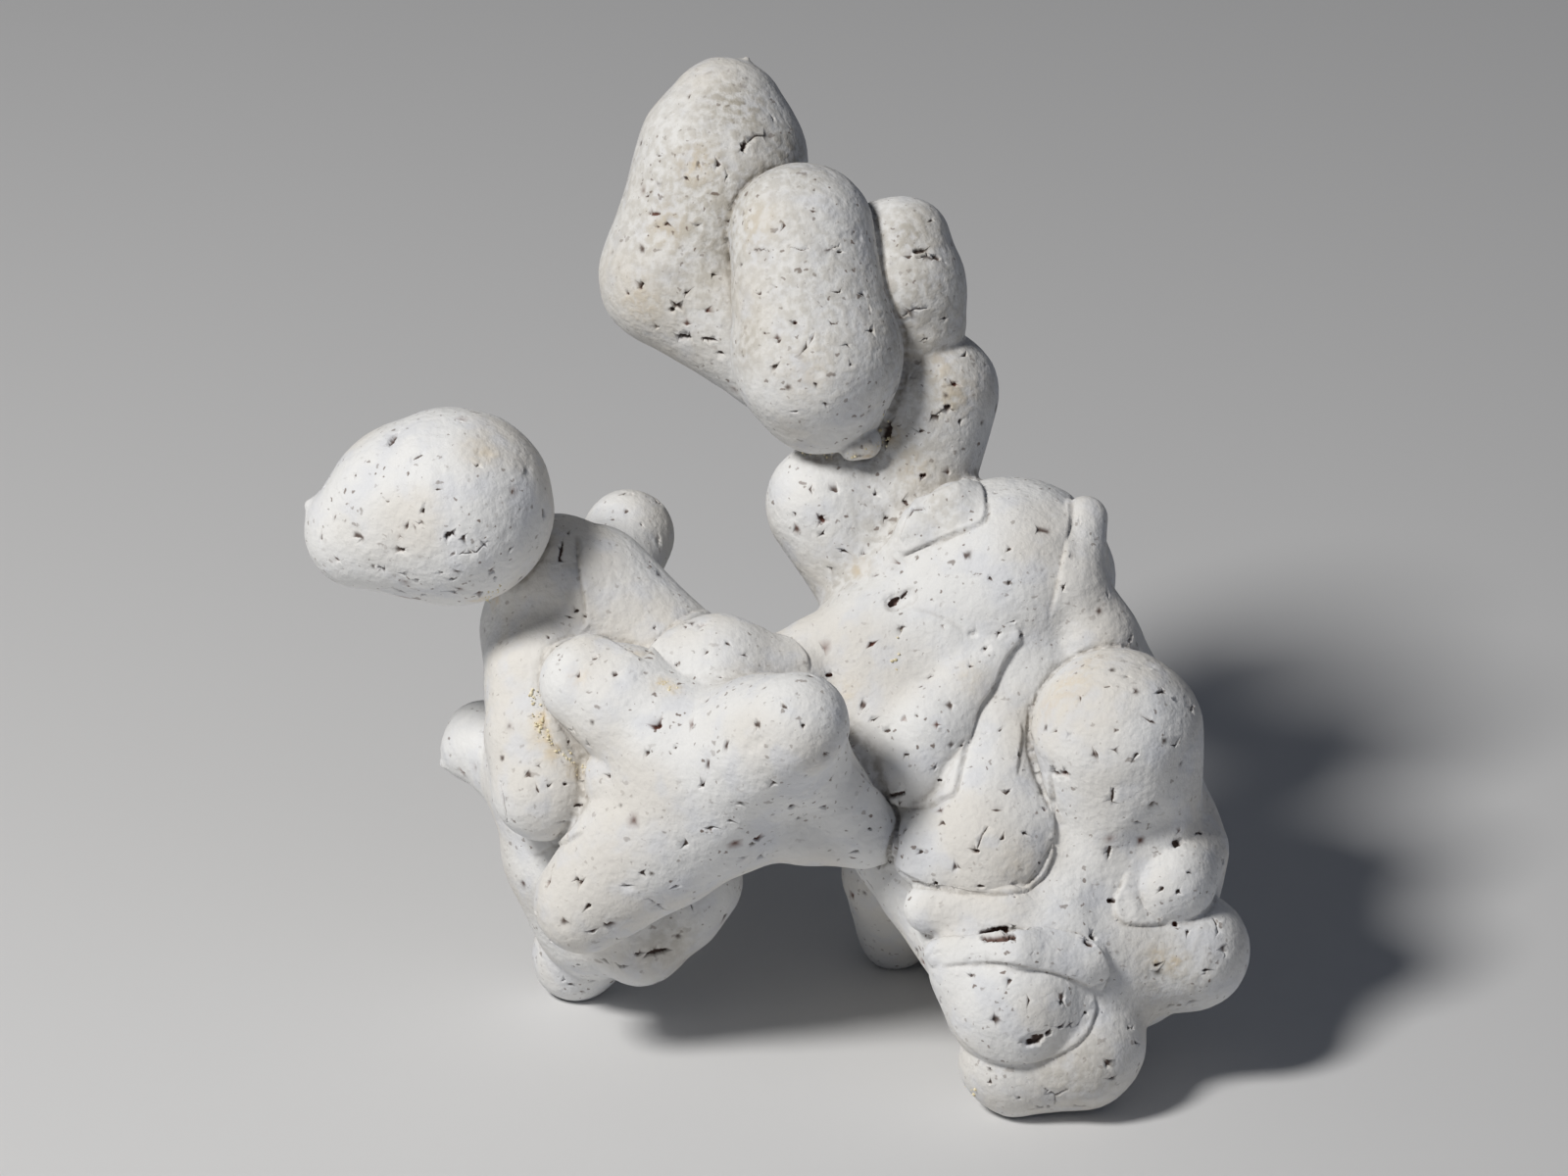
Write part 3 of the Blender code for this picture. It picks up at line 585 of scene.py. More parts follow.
    (20.1, -30.3, 1.0, 0.4, 0, 0.2), (24.0, -17.0, 0.8, 0.4, 70, 0.1),
    (22.0, -14.5, 0.6, 0.4, 30, 0.1), (24.5, -25.0, 0.6, 0.4, 40, 0.1),
    (17.5, -28.5, 0.8, 0.4, 0, 0.1), (15.5, -30.0, 0.6, 0.4, 20, 0.1),
    (26.0, -28.0, 0.6, 0.4, -30, 0.1),
    # On the ball.
    (27.8, -19.0, 1.3, 1.0, 0, 0.6), (28.8, -18.8, 0.9, 0.7, 0, 0.2),
    (38.4, -10.6, 1.1, 0.4, 20, 0.1), (37.5, -13.6, 0.9, 0.4, -10, 0.1),
    (31.7, -17.1, 0.9, 0.6, 0, 0.2), (41.6, -12.3, 1.0, 0.5, 80, 0.2),
    (27.7, -14.6, 0.6, 0.4, 0, 0.1), (30.2, -11.2, 0.5, 0.4, 0, 0.1),
    (33.0, -10.0, 0.7, 0.3, 10, 0), (35.0, -9.0, 0.5, 0.3, 0, 0), (36.0, -17.0, 0.7, 0.4, 30, 0.1),
    (40.0, -16.0, 0.6, 0.4, 60, 0.1), (34.0, -14.5, 0.5, 0.3, 0, 0),
    # On the right side.
    (40.1, -26.0, 1.4, 1.0, 20, 0.3), (44.8, -27.9, 0.9, 0.5, 80, 0.2),
    (33.2, -26.9, 1.4, 0.5, 80, 0.2), (33.5, -21.2, 1.7, 0.4, 85, 0.1),
    (38.5, -30.7, 0.8, 0.5, 30, 0.2), (40.2, -31.0, 0.8, 0.5, 60, 0.2),
    (33.3, -31.9, 1.0, 0.8, 0, 0.6), (39.9, -34.3, 0.9, 0.7, 0, 1), (42.5, -25.0, 0.7, 0.4, 0, 0.1),
    (41.3, -29.0, 0.6, 0.4, 20, 0.1), (36.0, -24.0, 0.6, 0.4, 0, 0.1),
    (37.6, -22.0, 0.7, 0.4, 60, 0.1), (44.0, -34.0, 1.0, 0.3, -60, 0.1),
    (41.2, -35.0, 0.6, 0.4, 0, 0.1), (38.0, -38.5, 0.7, 0.5, 0, 0.3),
    (43.0, -39.0, 0.8, 0.4, 10, 0.1), (41.5, -42.2, 0.9, 0.4, 15, 0.2),
    (39.5, -42.5, 0.7, 0.4, 0, 0.1),
    # On the band, the chin and the foot.
    (25.6, -46.1, 2.5, 1.3, 20, 0.3), (27.0, -45.4, 1.1, 0.7, 60, 0.3),
    (35.4, -44.9, 0.7, 0.5, 0, 0.2), (35.9, -46.4, 0.6, 0.4, 0, 0.1),
    (28.2, -44.8, 0.8, 0.4, 10, 0.1), (30.7, -43.3, 0.6, 0.5, 0, 0.1),
    (28.4, -42.0, 1.3, 0.5, 70, 0.2), (21.4, -44.1, 0.8, 0.5, 0, 0.2),
    (23.0, -40.0, 0.7, 0.4, 0, 0.1), (19.0, -39.5, 0.6, 0.4, 0, 0), (25.0, -42.0, 0.5, 0.4, 0, 0),
    (33.0, -48.5, 0.9, 0.4, 60, 0.2), (26.0, -53.0, 0.6, 0.4, 0, 0.1),
    (21.0, -50.5, 0.7, 0.4, 0, 0.1), (30.0, -52.8, 0.8, 0.4, -10, 0.2),
    (33.5, -50.0, 0.8, 0.4, 20, 0.2), (18.5, -51.2, 0.9, 0.5, 50, 0.2),
    (24.0, -52.0, 0.6, 0.4, 0, 0),
    # In the creases of the shoulder, the ball and the band.
    (11.2, -1.45, 1.7, 0.65, 38, 0.45), (12.2, -0.75, 1.3, 0.45, 50, 0.3),
    (27.5, -18.9, 1.6, 1.5, -5, 0.1), (28.6, -18.9, 1.5, 1.1, -10, 1.0),
    (31.0, -36.3, 1.6, 1.2, -30, 0.4), (31.6, -35.6, 1.3, 1.0, -30, 0.2),
    (21.9, -35.2, 4.3, 1.2, 3, 0.5), (21.9, -35.8, 4.0, 1.1, 3, 0.6),
)
print(len(PITS), "pits listed")

# %% [markdown]
# Cracks and scratches are lines instead: a row of (across, up) places, and a width. Dents are
# shallow and keep the colour of the stone: (across, up, length, width, turn, depth).

# %% Cracks and dents
CRACKS = (
    (((-4.0, 45.2), (-2.9, 46.2), (-1.8, 46.2)), 0.35),
    (((-3.5, 34.3), (-2.6, 34.6), (-1.6, 34.4)), 0.2), (((0.6, 34.9), (1.7, 34.5), (2.7, 34.7)), 0.2),
    (((4.2, 34.5), (5.6, 34.9)), 0.2),
    (((12.0, 27.6), (13.2, 28.4), (14.6, 28.5)), 0.28),
    (((15.4, 17.6), (16.7, 18.5), (17.6, 17.9)), 0.25),
    (((13.2, 33.6), (14.6, 33.9), (16.6, 33.2)), 0.3),
    (((12.6, 6.7), (13.4, 7.8), (14.4, 8.0)), 0.4),
    (((-34.3, 3.4), (-31.4, 3.7), (-30.3, 4.8)), 0.22),
    (((-38.0, 6.0), (-37.2, 6.6), (-36.4, 7.1)), 0.2),
    (((-29.0, -19.8), (-28.6, -22.0), (-28.0, -24.2)), 0.3),
    (((-14.0, -31.6), (-13.0, -32.3), (-12.1, -32.8)), 0.22),
    (((-17.5, -36.0), (-15.3, -35.5)), 0.2),
    (((33.6, -20.4), (33.4, -22.0)), 0.3),
    (((19.6, -26.9), (20.2, -25.2), (20.9, -24.2)), 0.25),
    (((44.0, -34.0), (44.6, -35.8), (45.0, -37.5)), 0.25),
    (((26.6, -51.0), (27.7, -51.7), (28.9, -51.1)), 0.3),
    (((27.7, -51.7), (27.6, -52.8)), 0.25),
)
DENTS = (
    (10.8, -0.8, 2.0, 1.4, 20, 0.2), (19.3, -4.7, 1.6, 1.2, 0, 0.25),
    (6.9, 35.8, 3.0, 1.4, -10, 0.12), (-37.4, 13.4, 2.0, 1.0, 30, 0.12),
    (-30.7, 13.7, 2.4, 1.6, 0, 0.12), (26.2, -20.6, 2.0, 1.0, 80, 0.15),
    (-14.0, -9.0, 3.0, 1.8, 20, 0.15), (-3.0, -16.0, 3.2, 1.8, 40, 0.15),
    (37.0, -8.0, 2.4, 1.4, 10, 0.15), (40.2, -26.0, 1.8, 1.0, 40, 0.2),
    (-9.6, 43.0, 2.4, 1.2, 60, 0.12), (3.0, 22.0, 2.6, 1.6, 0, 0.1),
)
print(len(CRACKS), "cracks and", len(DENTS), "dents")

# %% [markdown]
# All these places are only known as the eye sees them. Where a line of sight meets the stone is
# found by walking along it from the eye, each time by nearly the distance that is left. Where
# that distance stays large, the eye looks past the stone.

# %% Where the eye meets the stone
WALK_START_MM = 55.0
WALK_STEPS = 60
WALK_SHARE = 0.9
LONGEST_STEPS_MM = (-1.0, 4.0)
SEEN_MM = 0.1


def seen_on_stone(across, up):
    """The places on the stone that the eye sees there, and whether it sees the stone at all."""
    towards = np.full(len(across), WALK_START_MM)
    for _ in range(WALK_STEPS):
        share = 1.0 - towards / STANDPOINT_MM
        points = np.stack([across * share, up * share, towards], axis=1)
        gap = stone_distance(points)
        towards = towards - np.clip(WALK_SHARE * gap, *LONGEST_STEPS_MM)
    return points, np.abs(gap) < SEEN_MM


print("the eye meets the nose at", seen_on_stone(np.array([0.0]), np.array([-15.0]))[0].round(1))

# %% [markdown]
# Every mark becomes a chain of small discs on the skin: centre, radius, depth, rust and how dark
# the floor is painted, as painted shade of the pit. The chain tapers to both ends, a crack's more
# than a pit's. A dent is such a chain as well, but its floor stays white.

# %% Marks as discs on the skin
DISC_SPACING = 0.5
PIT_TAPER = 0.35
CRACK_TAPER = 0.6
DENT_TAPER = 0.3
DEPTH_SHARE = 0.9
DEEPEST_PIT_MM = 0.75
LEAST_RUST = 0.15
CRACK_RUST = 0.1
CRACK_DARK = 0.8


def chain(points, width, taper):
    """Places along a line of sight marks, each with its radius."""
    made = []
    for start, end in zip(points[:-1], points[1:]):
        length = math.dist(start, end)
        count = max(1, int(math.ceil(length / (DISC_SPACING * width))))
        for index in range(count):
            share = index / count
            made.append((start[0] + share * (end[0] - start[0]),
                         start[1] + share * (end[1] - start[1])))
    made.append(points[-1])
    middle = (len(made) - 1) / 2.0
    row = []
    for index, (across, up) in enumerate(made):
        ends = abs(index - middle) / max(middle, 0.5)
        row.append((across, up, 0.5 * width * (1.0 - taper * ends * ends)))
    return row


def mark_ends(across, up, length, width, turn):
    """The two ends of the middle line of an oval mark."""
    half = 0.5 * max(length - width, 0.0)
    right = half * math.cos(math.radians(turn))
    rise = half * math.sin(math.radians(turn))
    return (across - right, up - rise), (across + right, up + rise)


def listed_discs():
    rows = []
    for across, up, length, width, turn, rust in PITS:
        depth = min(DEPTH_SHARE * width, DEEPEST_PIT_MM)
        for place in chain(mark_ends(across, up, length, width, turn), width, PIT_TAPER):
            rows.append(place + (depth, max(rust, LEAST_RUST), 1.0))
    for points, width in CRACKS:
        for place in chain(points, width, CRACK_TAPER):
            rows.append(place + (DEPTH_SHARE * width, CRACK_RUST, CRACK_DARK))
    for across, up, length, width, turn, depth in DENTS:
        for place in chain(mark_ends(across, up, length, width, turn), width, DENT_TAPER):
            rows.append(place + (depth, 0.0, 0.0))
    table = np.array(rows)
    points, seen = seen_on_stone(table[:, 0], table[:, 1])
    return np.hstack([points, table[:, 2:]])[seen]


show_discs = listed_discs()
print(len(show_discs), "discs on the show side")

# %% [markdown]
# The stone is pitted on every side, so a few hundred smaller pits are scattered over the skin
# by a seeded random draw. Each is a slot of three discs along a random direction. Its radius
# grows with a power of the draw, so that most are pinholes and few are large.

# %% Scattered pits
SCATTER_SEED = 11
SCATTERED_PITS = 420
SMALLEST_PIT_MM = 0.11
PIT_SPREAD_MM = 0.15
SMALL_PIT_POWER = 2.5
PALEST_PIT = 0.45
LONGEST_STRETCH = 1.8
RARE_RUST_POWER = 4
SCATTER_TAPER = 0.3
SCATTER_DEPTH = 1.4


def vertex_normals(mesh):
    flat = np.empty(len(mesh.vertices) * 3)
    mesh.vertex_normals.foreach_get("vector", flat)
    return flat.reshape(-1, 3)


def scattered_discs(mesh, count, seed):
    draw = np.random.default_rng(seed)
    points, normals = mesh_points(mesh), vertex_normals(mesh)
    rows = []
    for index in draw.choice(len(points), count, replace=False):
        normal = normals[index]
        side = np.cross(normal, draw.normal(size=3))
        side /= max(float(np.linalg.norm(side)), 1e-6)
        radius = SMALLEST_PIT_MM + PIT_SPREAD_MM * float(draw.random()) ** SMALL_PIT_POWER
        dark = PALEST_PIT + (1.0 - PALEST_PIT) * float(draw.random())
        stretch = float(draw.random()) * LONGEST_STRETCH
        rust = float(draw.random()) ** RARE_RUST_POWER
        for share in (-1.0, 0.0, 1.0):
            centre = points[index] + side * share * stretch * radius
            thin = radius * (1.0 - SCATTER_TAPER * abs(share))
            rows.append((*centre, thin, SCATTER_DEPTH * radius, rust, dark))
    return np.array(rows)


discs = np.vstack([show_discs, scattered_discs(stone, SCATTERED_PITS, SCATTER_SEED)])
print(len(discs), "discs in all")

# %% [markdown]
# ## Seams
# Some lobes lie on the stone like a tongue of thick mud: one edge stands a little proud, with
# a fine groove at its foot. Such an edge is too low and too sharp for rows of beads, so each
# one is a line that was traced on the show side: the height of the step in millimetres, and
# places (across, up). Walking along the line, the proud side is on the left.

# %% Seams of the show side
SEAMS = (
    (0.5, ((12.0, 3.1), (13.1, 3.8), (15.0, 4.5), (16.7, 5.1), (18.1, 5.7), (19.5, 6.2),
           (20.6, 6.7), (20.9, 7.8), (20.6, 8.8), (20.4, 9.9), (19.8, 11.0), (18.6, 11.2),
           (17.3, 10.4), (15.3, 9.5), (13.5, 8.8), (12.8, 8.0), (12.5, 6.3), (11.7, 4.9))),
    (0.4, ((28.8, 4.9), (29.2, 6.0), (29.4, 8.0), (29.2, 9.5))),
    (0.25, ((28.8, 4.9), (28.4, 3.0), (28.0, 1.0), (27.4, -1.5), (27.1, -3.2))),
    (0.5, ((10.0, -21.1), (11.1, -21.8), (12.5, -22.4), (14.2, -22.5), (15.6, -22.1),
           (16.4, -21.4), (17.5, -21.3), (17.8, -20.2), (18.2, -18.5), (18.6, -16.5),
           (19.1, -14.9), (19.5, -13.2), (20.0, -11.8), (21.2, -10.1), (22.0, -8.5),
           (22.5, -7.3), (23.1, -6.5), (24.2, -5.5), (24.4, -4.8), (23.9, -4.0))),
    (0.15, ((18.6, -4.8), (17.0, -3.4), (15.3, -2.6), (12.8, -2.0))),
    (0.2, ((25.3, -11.0), (24.9, -12.6), (25.1, -14.3), (25.6, -15.7), (26.2, -17.0),
           (26.7, -17.9))),
    (0.4, ((11.4, -28.6), (14.2, -30.2), (17.9, -31.1), (22.0, -31.3), (24.7, -31.1),
           (26.6, -29.5), (27.5, -27.2), (27.5, -24.6), (27.6, -22.7), (27.4, -20.4),
           (27.0, -18.8))),
    (0.2, ((24.3, -30.6), (25.7, -28.6), (27.5, -25.8))),
    (0.3, ((23.8, -19.3), (23.9, -17.9), (24.2, -16.3), (24.4, -14.9), (24.2, -13.5))),
    (0.5, ((32.5, -41.2), (33.1, -40.0), (33.1, -38.2), (32.1, -36.4), (30.3, -35.4),
           (27.0, -34.9), (23.8, -35.1), (19.7, -35.5), (16.0, -35.7), (14.5, -36.1))),
    (0.3, ((16.2, -38.6), (18.8, -38.4), (22.0, -38.3), (24.7, -38.7), (27.5, -39.3),
           (29.8, -40.0), (31.6, -41.0))),
    (0.3, ((17.0, -44.4), (18.3, -46.1), (20.1, -47.6), (22.0, -48.3), (25.2, -48.4),
           (28.0, -47.8), (30.0, -46.7), (31.4, -45.1), (32.0, -42.8), (31.7, -41.3))),
    (0.4, ((34.8, -29.0), (34.4, -30.4), (33.5, -31.8), (33.7, -33.6), (34.8, -34.4),
           (37.1, -34.5), (39.4, -34.3))),
    (0.4, ((-14.3, -7.4), (-16.0, -6.4), (-18.4, -5.0),
           (-20.6, -4.6), (-22.4, -4.9), (-24.3, -6.1), (-24.9, -8.0), (-24.9, -10.6),
           (-24.5, -13.8), (-23.7, -15.9), (-22.2, -17.2))),
    (0.4, ((-7.8, -2.2), (-9.4, -2.4), (-11.0, -3.4), (-13.1, -5.6), (-14.3, -7.2))),
    (0.4, ((2.7, -8.5), (2.5, -6.9), (1.2, -5.3), (-0.9, -4.5))),
    (0.3, ((10.7, -28.4), (11.5, -26.5), (11.5, -23.3), (10.2, -21.2), (8.1, -19.6),
           (6.9, -17.5))),
    (0.35, ((-25.6, -27.6), (-23.7, -26.5), (-21.6, -25.7), (-20.3, -24.8))),
    (0.3, ((-21.2, 5.4), (-20.9, 1.9), (-20.3, -2.1), (-20.6, -4.5))),
)
print(len(SEAMS), "seams listed")

# %% [markdown]
# Each line is walked in steps of a fifth of a millimetre and smoothed, so that its corners
# don't show. Its step fades out over the last millimetres at both ends. A tree of the places
# then tells quickly which of them is nearest to a point.

# %% Places along the seams
SEAM_STEP_MM = 0.2
SEAM_END_MM = 1.6
SEAM_SMOOTHINGS = 12


def seam_places():
    """Places along all seams on the stone, with where they are seen, their way and their height."""
    rows = []
    for height, line in SEAMS:
        ends = np.array(line)
        run = np.concatenate([[0.0], np.cumsum(np.linalg.norm(np.diff(ends, axis=0), axis=1))])
        along = np.arange(0.0, run[-1], SEAM_STEP_MM)
        place = np.stack([np.interp(along, run, ends[:, axis]) for axis in (0, 1)], axis=1)
        for _ in range(SEAM_SMOOTHINGS):
            place[1:-1] = (place[:-2] + 2.0 * place[1:-1] + place[2:]) / 4.0
        way = np.gradient(place, axis=0)
        way /= np.linalg.norm(way, axis=1)[:, None]
        fade = np.clip(np.minimum(along, run[-1] - along) / SEAM_END_MM, 0.0, 1.0)
        rows.append(np.hstack([place, way, (height * fade * (2.0 - fade))[:, None]]))
    table = np.vstack(rows)
    points, seen = seen_on_stone(table[:, 0], table[:, 1])
    return points[seen], table[seen]


def tree_of(points):
    tree = kdtree.KDTree(len(points))
    for index, point in enumerate(points):
        tree.insert(point, index)
    tree.balance()
    return tree


seam_points, seam_table = seam_places()
seam_tree = tree_of(seam_points)
print(len(seam_points), "places along the seams")

# %% [markdown]
# ## A finer skin where it is needed
# Cells of 0.95 mm are fine enough for the round of a lobe, but not for a crease or a pinhole.
# A modifier would split every face, and the mesh would run to millions. Instead an edge is
# split only where the skin bends sharply along it, or where a seam or a disc needs it, and
# the new points are drawn onto the stone again. Large cells bridge the tightest creases, so each
# disc first settles onto the mesh as it is.

# %% Splitting only the edges that need it
BEND_DEG = 12.0
SHORTEST_MM = 0.24
DISC_SHARE = 0.42
FINEST_MM = 0.11
SEAM_BAND_MM = 0.7
SEAM_EDGE_MM = 0.2
COARSEST_MM = 9.0
SPLIT_OVER = 1.4
SPLIT_SPREAD = 1.35
DISC_MARGIN_MM = 0.12


def edge_ends(mesh):
    flat = np.empty(len(mesh.edges) * 2, dtype=np.int32)
    mesh.edges.foreach_get("vertices", flat)
    return flat.reshape(-1, 2)


def near_discs(points, spread):
    """For each point, the discs whose spread it lies in, as pairs of indices."""
    tree = tree_of(points)
    pairs = []
    for number, disc in enumerate(discs):
        for _, index, _ in tree.find_range(Vector(disc[:3]), disc[3] * spread + DISC_MARGIN_MM):
            pairs.append((index, number))
    return np.array(pairs)


def edges_to_split(mesh, discs_only):
    points, normals, ends = mesh_points(mesh), vertex_normals(mesh), edge_ends(mesh)
    length = np.linalg.norm(points[ends[:, 0]] - points[ends[:, 1]], axis=1)
    level = (normals[ends[:, 0]] * normals[ends[:, 1]]).sum(axis=1)
    middles = (points[ends[:, 0]] + points[ends[:, 1]]) / 2.0
    to_seam = np.array([seam_tree.find(middle)[2] for middle in middles])
    wanted = np.where(to_seam < SEAM_BAND_MM, SEAM_EDGE_MM, COARSEST_MM)
    pairs = near_discs(middles, SPLIT_SPREAD)
    fine = np.maximum(discs[pairs[:, 1], 3] * DISC_SHARE, FINEST_MM)
    np.minimum.at(wanted, pairs[:, 0], fine)
    chosen = length > SPLIT_OVER * wanted
    if not discs_only:
        bent = level < math.cos(math.radians(BEND_DEG))
        chosen |= bent & (length > SPLIT_OVER * SHORTEST_MM)
    return np.nonzero(chosen)[0]


def split_edges(mesh, chosen):
    work = bmesh.new()
    work.from_mesh(mesh)
    work.edges.ensure_lookup_table()
    edges = [work.edges[index] for index in chosen]
    bmesh.ops.subdivide_edges(work, edges=edges, cuts=1, use_grid_fill=True)
    bmesh.ops.triangulate(work, faces=[face for face in work.faces if len(face.verts) > 3])
    work.to_mesh(mesh)
    work.free()


def settle_discs(mesh):
    """Moves each disc to the nearest place on the mesh."""
    faces = [tuple(face.vertices) for face in mesh.polygons]
    tree = bvhtree.BVHTree.FromPolygons(mesh_points(mesh).tolist(), faces)
    for disc in discs:
        disc[:3] = tree.find_nearest(Vector(disc[:3]))[0]


for discs_only in (False, False, True):
    settle_discs(stone)
    split_edges(stone, edges_to_split(stone, discs_only))
    set_mesh_points(stone, drawn_onto_stone(mesh_points(stone), 2))
    print("finer skin:", len(stone.polygons), "triangles")
settle_discs(stone)

# %% [markdown]
# ## Pressing the seams
# Each point finds its nearest place on a seam and the side on which it lies. On the proud
# side the skin rises in a quarter round and falls back over a few millimetres, and on the
# other it sinks into a narrow groove. Creases between lobes get such a groove too. How closed
# in a point is tells where they are: in the open the distance grows as fast as a step along
# the normal, and in a crease it doesn't. The colour then gets painted shade: a dark line along
# each seam's groove, and darkening that grows as a crease closes in.

# %% Seams and creases
SEAM_REACH_MM = 4.5
SEAM_HOLD = 0.6
SEAM_FALL_MM = 1.5
SEAM_ROUND_MM = 0.55
GROOVE_MM = 0.16
GROOVE_WIDTH_MM = 0.3
FULL_STEP_MM = 0.3
SEAM_SHADE_MM = 0.22
CREASE_STEP_MM = 0.5
CREASE_DEPTH_MM = 0.22
DEEP_RANGE = (0.1, 0.6)
DIRT_AND_SHADE_RANGE = (0.08, 0.5)


def closed_in(points, normals, step):
    """How closed in each point is, from nought in the open to one in a tight crease."""
    return np.clip(1.0 - stone_distance(points + normals * step) / step, 0.0, 1.0)


def press_seams(mesh):
    """Raises and sinks the skin along the seams, and returns how near each point is to one, for a
    painted shade line along the groove.
    """
    points, normals = mesh_points(mesh), vertex_normals(mesh)
    found = [seam_tree.find(point) for point in points]
    nearest = np.array([index for _, index, _ in found])
    away = np.array([distance for _, _, distance in found])
    seam = seam_table[nearest]
    view = 1.0 - points[:, 2:3] / STANDPOINT_MM
    offset = points[:, :2] / view - seam[:, :2]
    along = (offset * seam[:, 2:4]).sum(axis=1)
    side = seam[:, 2] * offset[:, 1] - seam[:, 3] * offset[:, 0]
    off = np.sqrt(np.maximum(away * away - along * along, 0.0))
    strength = seam[:, 4] * (1.0 - eased(away, SEAM_HOLD * SEAM_REACH_MM, SEAM_REACH_MM))
    groove = GROOVE_MM * np.minimum(strength / FULL_STEP_MM, 1.0)
    rounding = np.clip(off / SEAM_ROUND_MM, 0.0, 1.0)
    proud = (strength + groove) * np.sqrt(1.0 - (1.0 - rounding) ** 2) * np.exp(-off / SEAM_FALL_MM)
    sunk = groove * np.exp(-off / GROOVE_WIDTH_MM)
    height = np.where(side > 0.0, proud, 0.0) - sunk
    set_mesh_points(mesh, points + normals * height[:, None])
    return np.exp(-(off / SEAM_SHADE_MM) ** 2) * np.minimum(strength / FULL_STEP_MM, 1.0)


def deepen_creases(mesh, tight):
    depth = CREASE_DEPTH_MM * eased(tight, *DEEP_RANGE)
    set_mesh_points(mesh, mesh_points(mesh) - vertex_normals(mesh) * depth[:, None])


skin_points, skin_normals = mesh_points(stone), vertex_normals(stone)
tight = closed_in(skin_points, skin_normals, CREASE_STEP_MM)
deepen_creases(stone, tight)
# The crease mask darkens the colour: painted shade where a crease closes in, and a painted shade line
# along each seam's groove, with a little dirt.
crease = np.maximum(eased(tight, *DIRT_AND_SHADE_RANGE), press_seams(stone))
print("points in creases:", int((crease > 0.5).sum()))

# %% [markdown]
# ## Carving the marks
# The skin first gets a faint unevenness of a tenth of a millimetre or so, as no lobe is a perfect
# ball. Then every point that lay in a disc before the seams were pressed is pushed in along
# the skin's normal: flat at the floor, steep at the wall, with a ragged rim. How deep a point
# sits in a pit, and how rusty that pit is, is kept on the mesh for the colours, where the floor
# gets painted shade.

# %% Unevenness and pits
RELIEF = ((7.0, 0.2), (3.0, 0.12))
CARVE_SPREAD = 1.3
FLATTENED = 0.7
RAGS_PER_MM = 2.6
RAGGED = 0.35
RIM = 1.08
WALL = 0.55


def uneven(mesh):
    points, normals = mesh_points(mesh), vertex_normals(mesh)
    height = np.zeros(len(points))
    for wave, size in RELIEF:
        height += [size * noise.noise(Vector(point / wave)) for point in points]
    set_mesh_points(mesh, points + normals * height[:, None])


def carve(mesh, places):
    """Pushes the marks into the skin and returns how deep in a pit each point lies, as the strength of
    its painted shade, and its rust.
    """
    points, normals = mesh_points(mesh), vertex_normals(mesh)
    depth, pit_tint_and_shade, rust = np.zeros(len(points)), np.zeros(len(points)), np.zeros(len(points))
    pairs = near_discs(places, CARVE_SPREAD)
    inner = places[pairs[:, 0]] - discs[pairs[:, 1], :3]
    lift = (inner * normals[pairs[:, 0]]).sum(axis=1)
    away = np.sqrt(np.maximum((inner * inner).sum(axis=1) - FLATTENED * lift * lift, 0.0))
    ragged = np.array([noise.noise(Vector(points[index] * RAGS_PER_MM)) for index in pairs[:, 0]])
    share = away / (discs[pairs[:, 1], 3] * (1.0 + RAGGED * ragged))
    wall = eased(RIM - share, 0.0, WALL)
    np.maximum.at(depth, pairs[:, 0], wall * discs[pairs[:, 1], 4])
    np.maximum.at(pit_tint_and_shade, pairs[:, 0], wall * discs[pairs[:, 1], 6])
    np.maximum.at(rust, pairs[:, 0], wall * discs[pairs[:, 1], 5])
    set_mesh_points(mesh, points - normals * depth[:, None])
    return pit_tint_and_shade, rust


def keep_on_mesh(mesh, name, values):
    layer = mesh.attributes.new(name, "FLOAT", "POINT")
    layer.data.foreach_set("value", np.ascontiguousarray(values, dtype=np.float32))


uneven(stone)
pit_tint_and_shade, rust = carve(stone, skin_points)
# The pit mask darkens pit floors: painted shade with a brown tint.
keep_on_mesh(stone, "pit_tint_and_shade", pit_tint_and_shade)
keep_on_mesh(stone, "rust", rust)
print("points in pits:", int((pit_tint_and_shade > 0.5).sum()))

# %% [markdown]
# ## Painted shade, dirt, warmth and clay
# The creases are darkened with painted shade and a little dirt. The wider valleys beside them,
# which a longer step finds, get a little painted shade. A few places are stained ochre by the clay,
# and the fingers and a few low places are dulled, partly by old soil and partly by painted shade.
# Both are listed: (across, up, radius, strength). The valleys and the stains are read where the
# skin lay before it was pressed and carved.

# %% Painted shade, dirt and stains
VALLEY_SHADE_STEP_MM = 1.6
STAINS = (
    (29.0, -10.0, 2.6, 0.35), (31.0, -7.5, 2.0, 0.3), (27.0, -12.0, 1.6, 0.3),
    (6.7, -10.7, 1.2, 0.25), (-30.7, 13.7, 1.6, 0.3), (-31.3, -1.2, 0.8, 0.6),
    (-14.7, 29.0, 2.4, 0.25), (-9.0, 43.0, 2.0, 0.3), (-12.0, 37.0, 2.2, 0.25),
    (17.4, 19.6, 2.0, 0.3), (16.0, 22.5, 1.8, 0.25), (13.0, 12.5, 1.6, 0.3),
    (39.9, -38.3, 1.0, 0.5), (38.1, -37.7, 0.9, 0.5), (-25.0, -13.5, 1.0, 0.7),
    (-24.6, -15.2, 0.9, 0.7), (-23.6, -16.8, 0.9, 0.6), (-21.5, -18.5, 0.8, 0.5),
    (-12.5, -9.8, 0.9, 0.6), (-11.2, -10.4, 0.8, 0.5), (19.0, -9.0, 1.6, 0.2),
    (-15.0, -6.5, 1.2, 0.3), (-21.0, -9.0, 1.1, 0.3), (8.4, 13.6, 1.2, 0.5),
    (11.0, 15.5, 1.0, 0.5), (7.6, 2.0, 1.0, 0.4), (-29.5, -1.4, 0.8, 0.6),
    (3.0, 22.0, 3.0, 0.15), (-3.0, 37.0, 2.4, 0.2), (24.0, -28.0, 2.0, 0.15),
)
